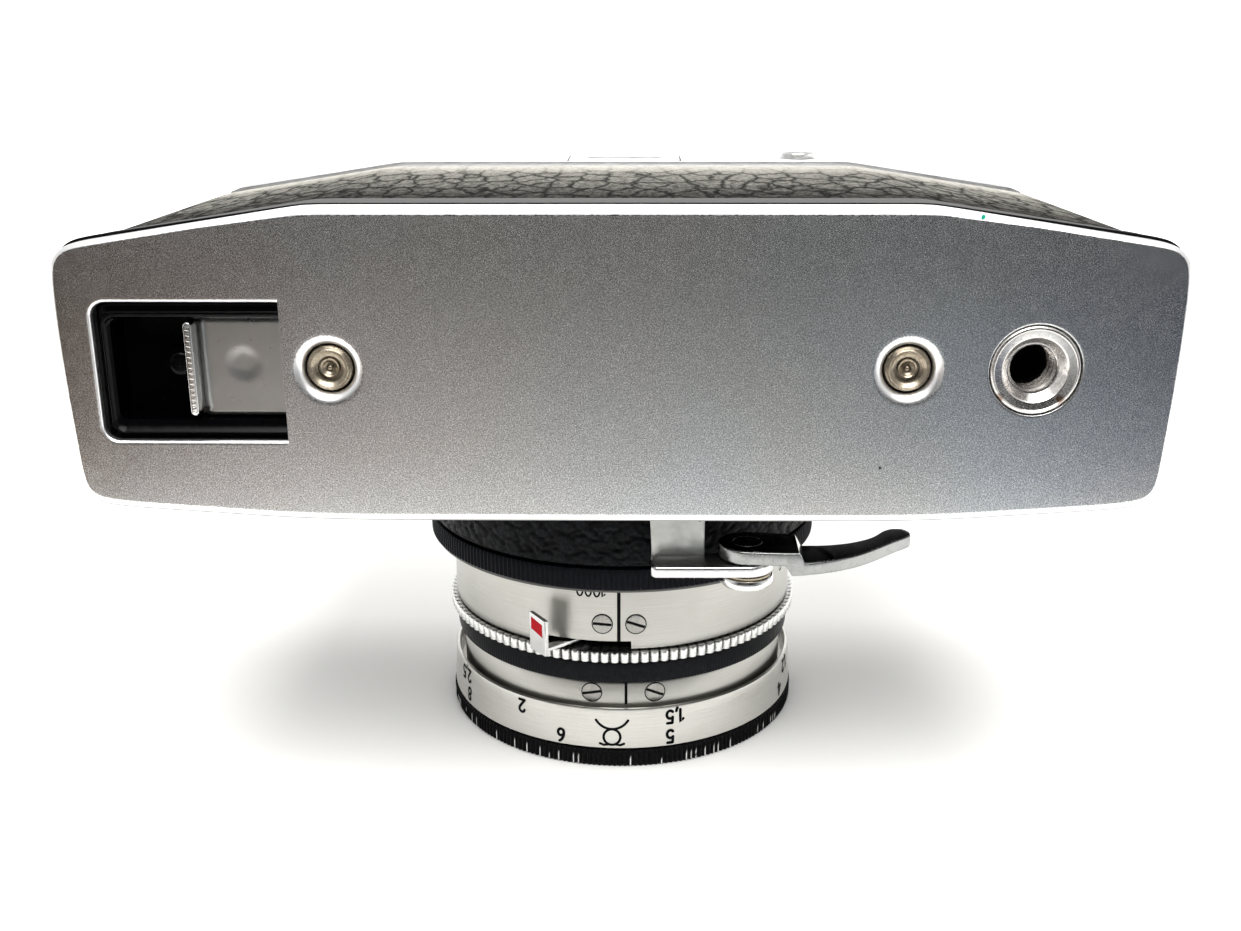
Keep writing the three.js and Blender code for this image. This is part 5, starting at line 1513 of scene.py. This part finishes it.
for k in range(12):
    a = TAU * k / 12
    txt = str(k * 3)
    v, f = strokes_mesh(text_lines(txt, 1.0), 0.16)
    c, s = math.cos(a - math.pi / 2), math.sin(a - math.pi / 2)
    cx, cz = 57.5 + 4.0 * math.cos(a), 60 + 4.0 * math.sin(a)
    emit(f"counter_number_{k}", [(cx + x * c - y * s, 37.84, cz + x * s + y * c) for x, y in [(-p[0], p[1]) for p in v]], f, "white", "counter", (), smooth=False)
turn_y("counter_window_lens", [(5.45, 38.8), (5.45, 40.0), (4.68, 40.05), (4.68, 41.2), (4.3, 41.42), (3.0, 41.5), (0.001, 41.52)], 57.5, 60, "optical_glass", "camera", "counter_window", n=72)
turn_z("sync_socket_turned", [(1.9, 80.6), (1.9, 82.6), (2.0, 82.9), (2.3, 83.0), (2.6, 82.95), (2.8, 82.7), (2.8, 79.6), (3.6, 79.6), (3.6, 77.8), (0.001, 77.8), (0.001, 80.6)], "clean_chrome", "camera", "sync_socket", n=72, closed=True, cx=30, cy=31)
turn_z("sync_socket_pin", [(0.6, 80.6), (0.6, 82.2), (0.45, 82.4), (0.001, 82.45)], "nickel", "camera", (), n=36, closed=False, cx=30, cy=31)
# ribbed diffuser behind the meter window's face
_v, _f = join_arrays([prism_arrays(circle2(-56.0 + 1.13 * i + (0.56 if j % 2 else 0), 27.9 + 0.98 * j, 0.50, 12), 44.5, 44.62, 0.05, "z", 1) for i in range(22) for j in range(9) if -56.4 < -56.0 + 1.13 * i + (0.56 if j % 2 else 0) < -31.6])
emit("meter_honeycomb", _v, _f, "amber_glass", "camera", (), angle=20, fix=True)

# ------------------------------------------------------------------ floor, light
def stage_material(name, colour, rough=0.7):
    """White paper, whose far parts glow a little so that no horizon shows."""
    m, t, b = new_mat(name, Roughness=rough)
    p = pos_mm(t)
    n1 = noise(t, p, 0.02, 3.0, 0.5)
    t.links.new(mixc(t, remap(t, n1, 0.3, 0.7, 0.0, 1.0), colour, tuple(c * 0.99 for c in colour)), b.inputs["Base Color"])
    b.inputs["Specular IOR Level"].default_value = 0.1
    d = N(t, "ShaderNodeVectorMath", {0: p}, operation="LENGTH").outputs["Value"]
    t.links.new(remap(t, d, 150.0, 480.0, 0.0, 0.75), b.inputs["Emission Strength"])
    b.inputs["Emission Color"].default_value = (1, 1, 1, 1)
    return m


def plane(name, pts, mat):
    me = bpy.data.meshes.new(name)
    me.from_pydata([tuple(c * MM for c in p) for p in pts], [], [[0, 1, 2, 3]])
    me.materials.append(mat)
    ob = bpy.data.objects.new(name, me)
    bpy.context.scene.collection.objects.link(ob)
    return ob


plane("floor_white", [(-4000, -4000, -0.02), (4000, -4000, -0.02), (4000, 4000, -0.02), (-4000, 4000, -0.02)], stage_material("floor_paper", (0.865, 0.86, 0.838)))


def flag_card():
    """A grey card in front of the base plate, seen only in reflections, which darkens upwards as a dim room does."""
    m = bpy.data.materials.new("reflection_card")
    m.use_nodes = True
    t = m.node_tree
    t.nodes.clear()
    out = t.nodes.new("ShaderNodeOutputMaterial")
    e = t.nodes.new("ShaderNodeEmission")
    t.links.new(e.outputs[0], out.inputs["Surface"])
    c = N(t, "ShaderNodeTexCoord").outputs["Object"]
    s = N(t, "ShaderNodeSeparateXYZ", {0: c})
    far = remap(t, s.outputs["Y"], -0.15, -0.95, 0.0, 1.0)
    level = ramp(t, far, [(0.0, 0.82), (0.05, 0.65), (0.15, 0.44), (0.36, 0.235), (0.58, 0.085), (0.80, 0.030), (1.0, 0.015)])
    fan = mth(t, "DIVIDE", s.outputs["X"], mth(t, "SUBTRACT", 0.11, s.outputs["Y"]))
    side = remap(t, fan, -0.46, 0.46, 0.0, 1.0)
    hue = ramp(t, side, [(0.0, (0.30, 0.21, 0.16)), (0.12, (0.88, 0.74, 0.66)), (0.26, (1.16, 1.06, 1.00)), (0.45, (1.06, 1.04, 1.02)), (0.62, (0.97, 1.00, 1.02)),
                         (0.80, (0.80, 0.86, 0.93)), (0.90, (0.50, 0.55, 0.65)), (1.0, (0.26, 0.30, 0.40))])
    t.links.new(mixc(t, 1.0, level, hue, "MULTIPLY"), e.inputs["Color"])
    ob = plane("reflection_card", [(-900, -1600, 2.0), (900, -1600, 2.0), (900, -150, 2.0), (-900, -150, 2.0)], m)
    ob.visible_camera = False
    ob.visible_diffuse = False
    ob.visible_shadow = False
    ob.visible_transmission = False
    ob.visible_volume_scatter = False
    return ob


flag_card()


def world():
    w = bpy.data.worlds.new("studio")
    bpy.context.scene.world = w
    w.use_nodes = True
    t = w.node_tree
    t.nodes.clear()
    out = t.nodes.new("ShaderNodeOutputWorld")
    cam_bg = N(t, "ShaderNodeBackground", {"Color": (1, 1, 1, 1), "Strength": 1.05})
    c = N(t, "ShaderNodeTexCoord").outputs["Generated"]
    s = N(t, "ShaderNodeSeparateXYZ", {0: c})
    front = remap(t, s.outputs["Y"], -0.42, -0.80, 0.0, 1.0)
    low = remap(t, s.outputs["Z"], 0.45, 0.80, 1.0, 0.0)
    f = mth(t, "MULTIPLY", front, low)
    back = remap(t, s.outputs["Y"], 0.1, 0.7, 0.0, 1.0)
    col = mixc(t, f, mixc(t, back, (1.0, 1.0, 1.0), (1.32, 1.32, 1.32)), (0.03, 0.03, 0.033))
    env = N(t, "ShaderNodeBackground", {"Color": col, "Strength": 0.80})
    lp = N(t, "ShaderNodeLightPath")
    mix = N(t, "ShaderNodeMixShader", {0: lp.outputs["Is Camera Ray"], 1: env.outputs[0], 2: cam_bg.outputs[0]})
    t.links.new(mix.outputs[0], out.inputs["Surface"])


world()


def area(name, loc, target, size, power, size_y=None):
    li = bpy.data.lights.new(name, "AREA")
    li.shape = "RECTANGLE"
    li.size = size * MM
    li.size_y = (size_y or size) * MM
    li.energy = power
    ob = bpy.data.objects.new(name, li)
    bpy.context.scene.collection.objects.link(ob)
    ob.location = Vector(loc) * MM
    d = Vector(target) * MM - ob.location
    ob.rotation_euler = d.to_track_quat("-Z", "Y").to_euler()
    return ob


area("soft_key", (35, -330, 640), (0, -40, 0), 620, 7.6, 560)
area("soft_back", (0, 480, 520), (0, 0, 40), 600, 3.5, 400)

bpy.context.scene.view_settings.view_transform = "Standard"
bpy.context.scene.view_settings.look = "None"
bpy.context.scene.view_settings.exposure = 0.0
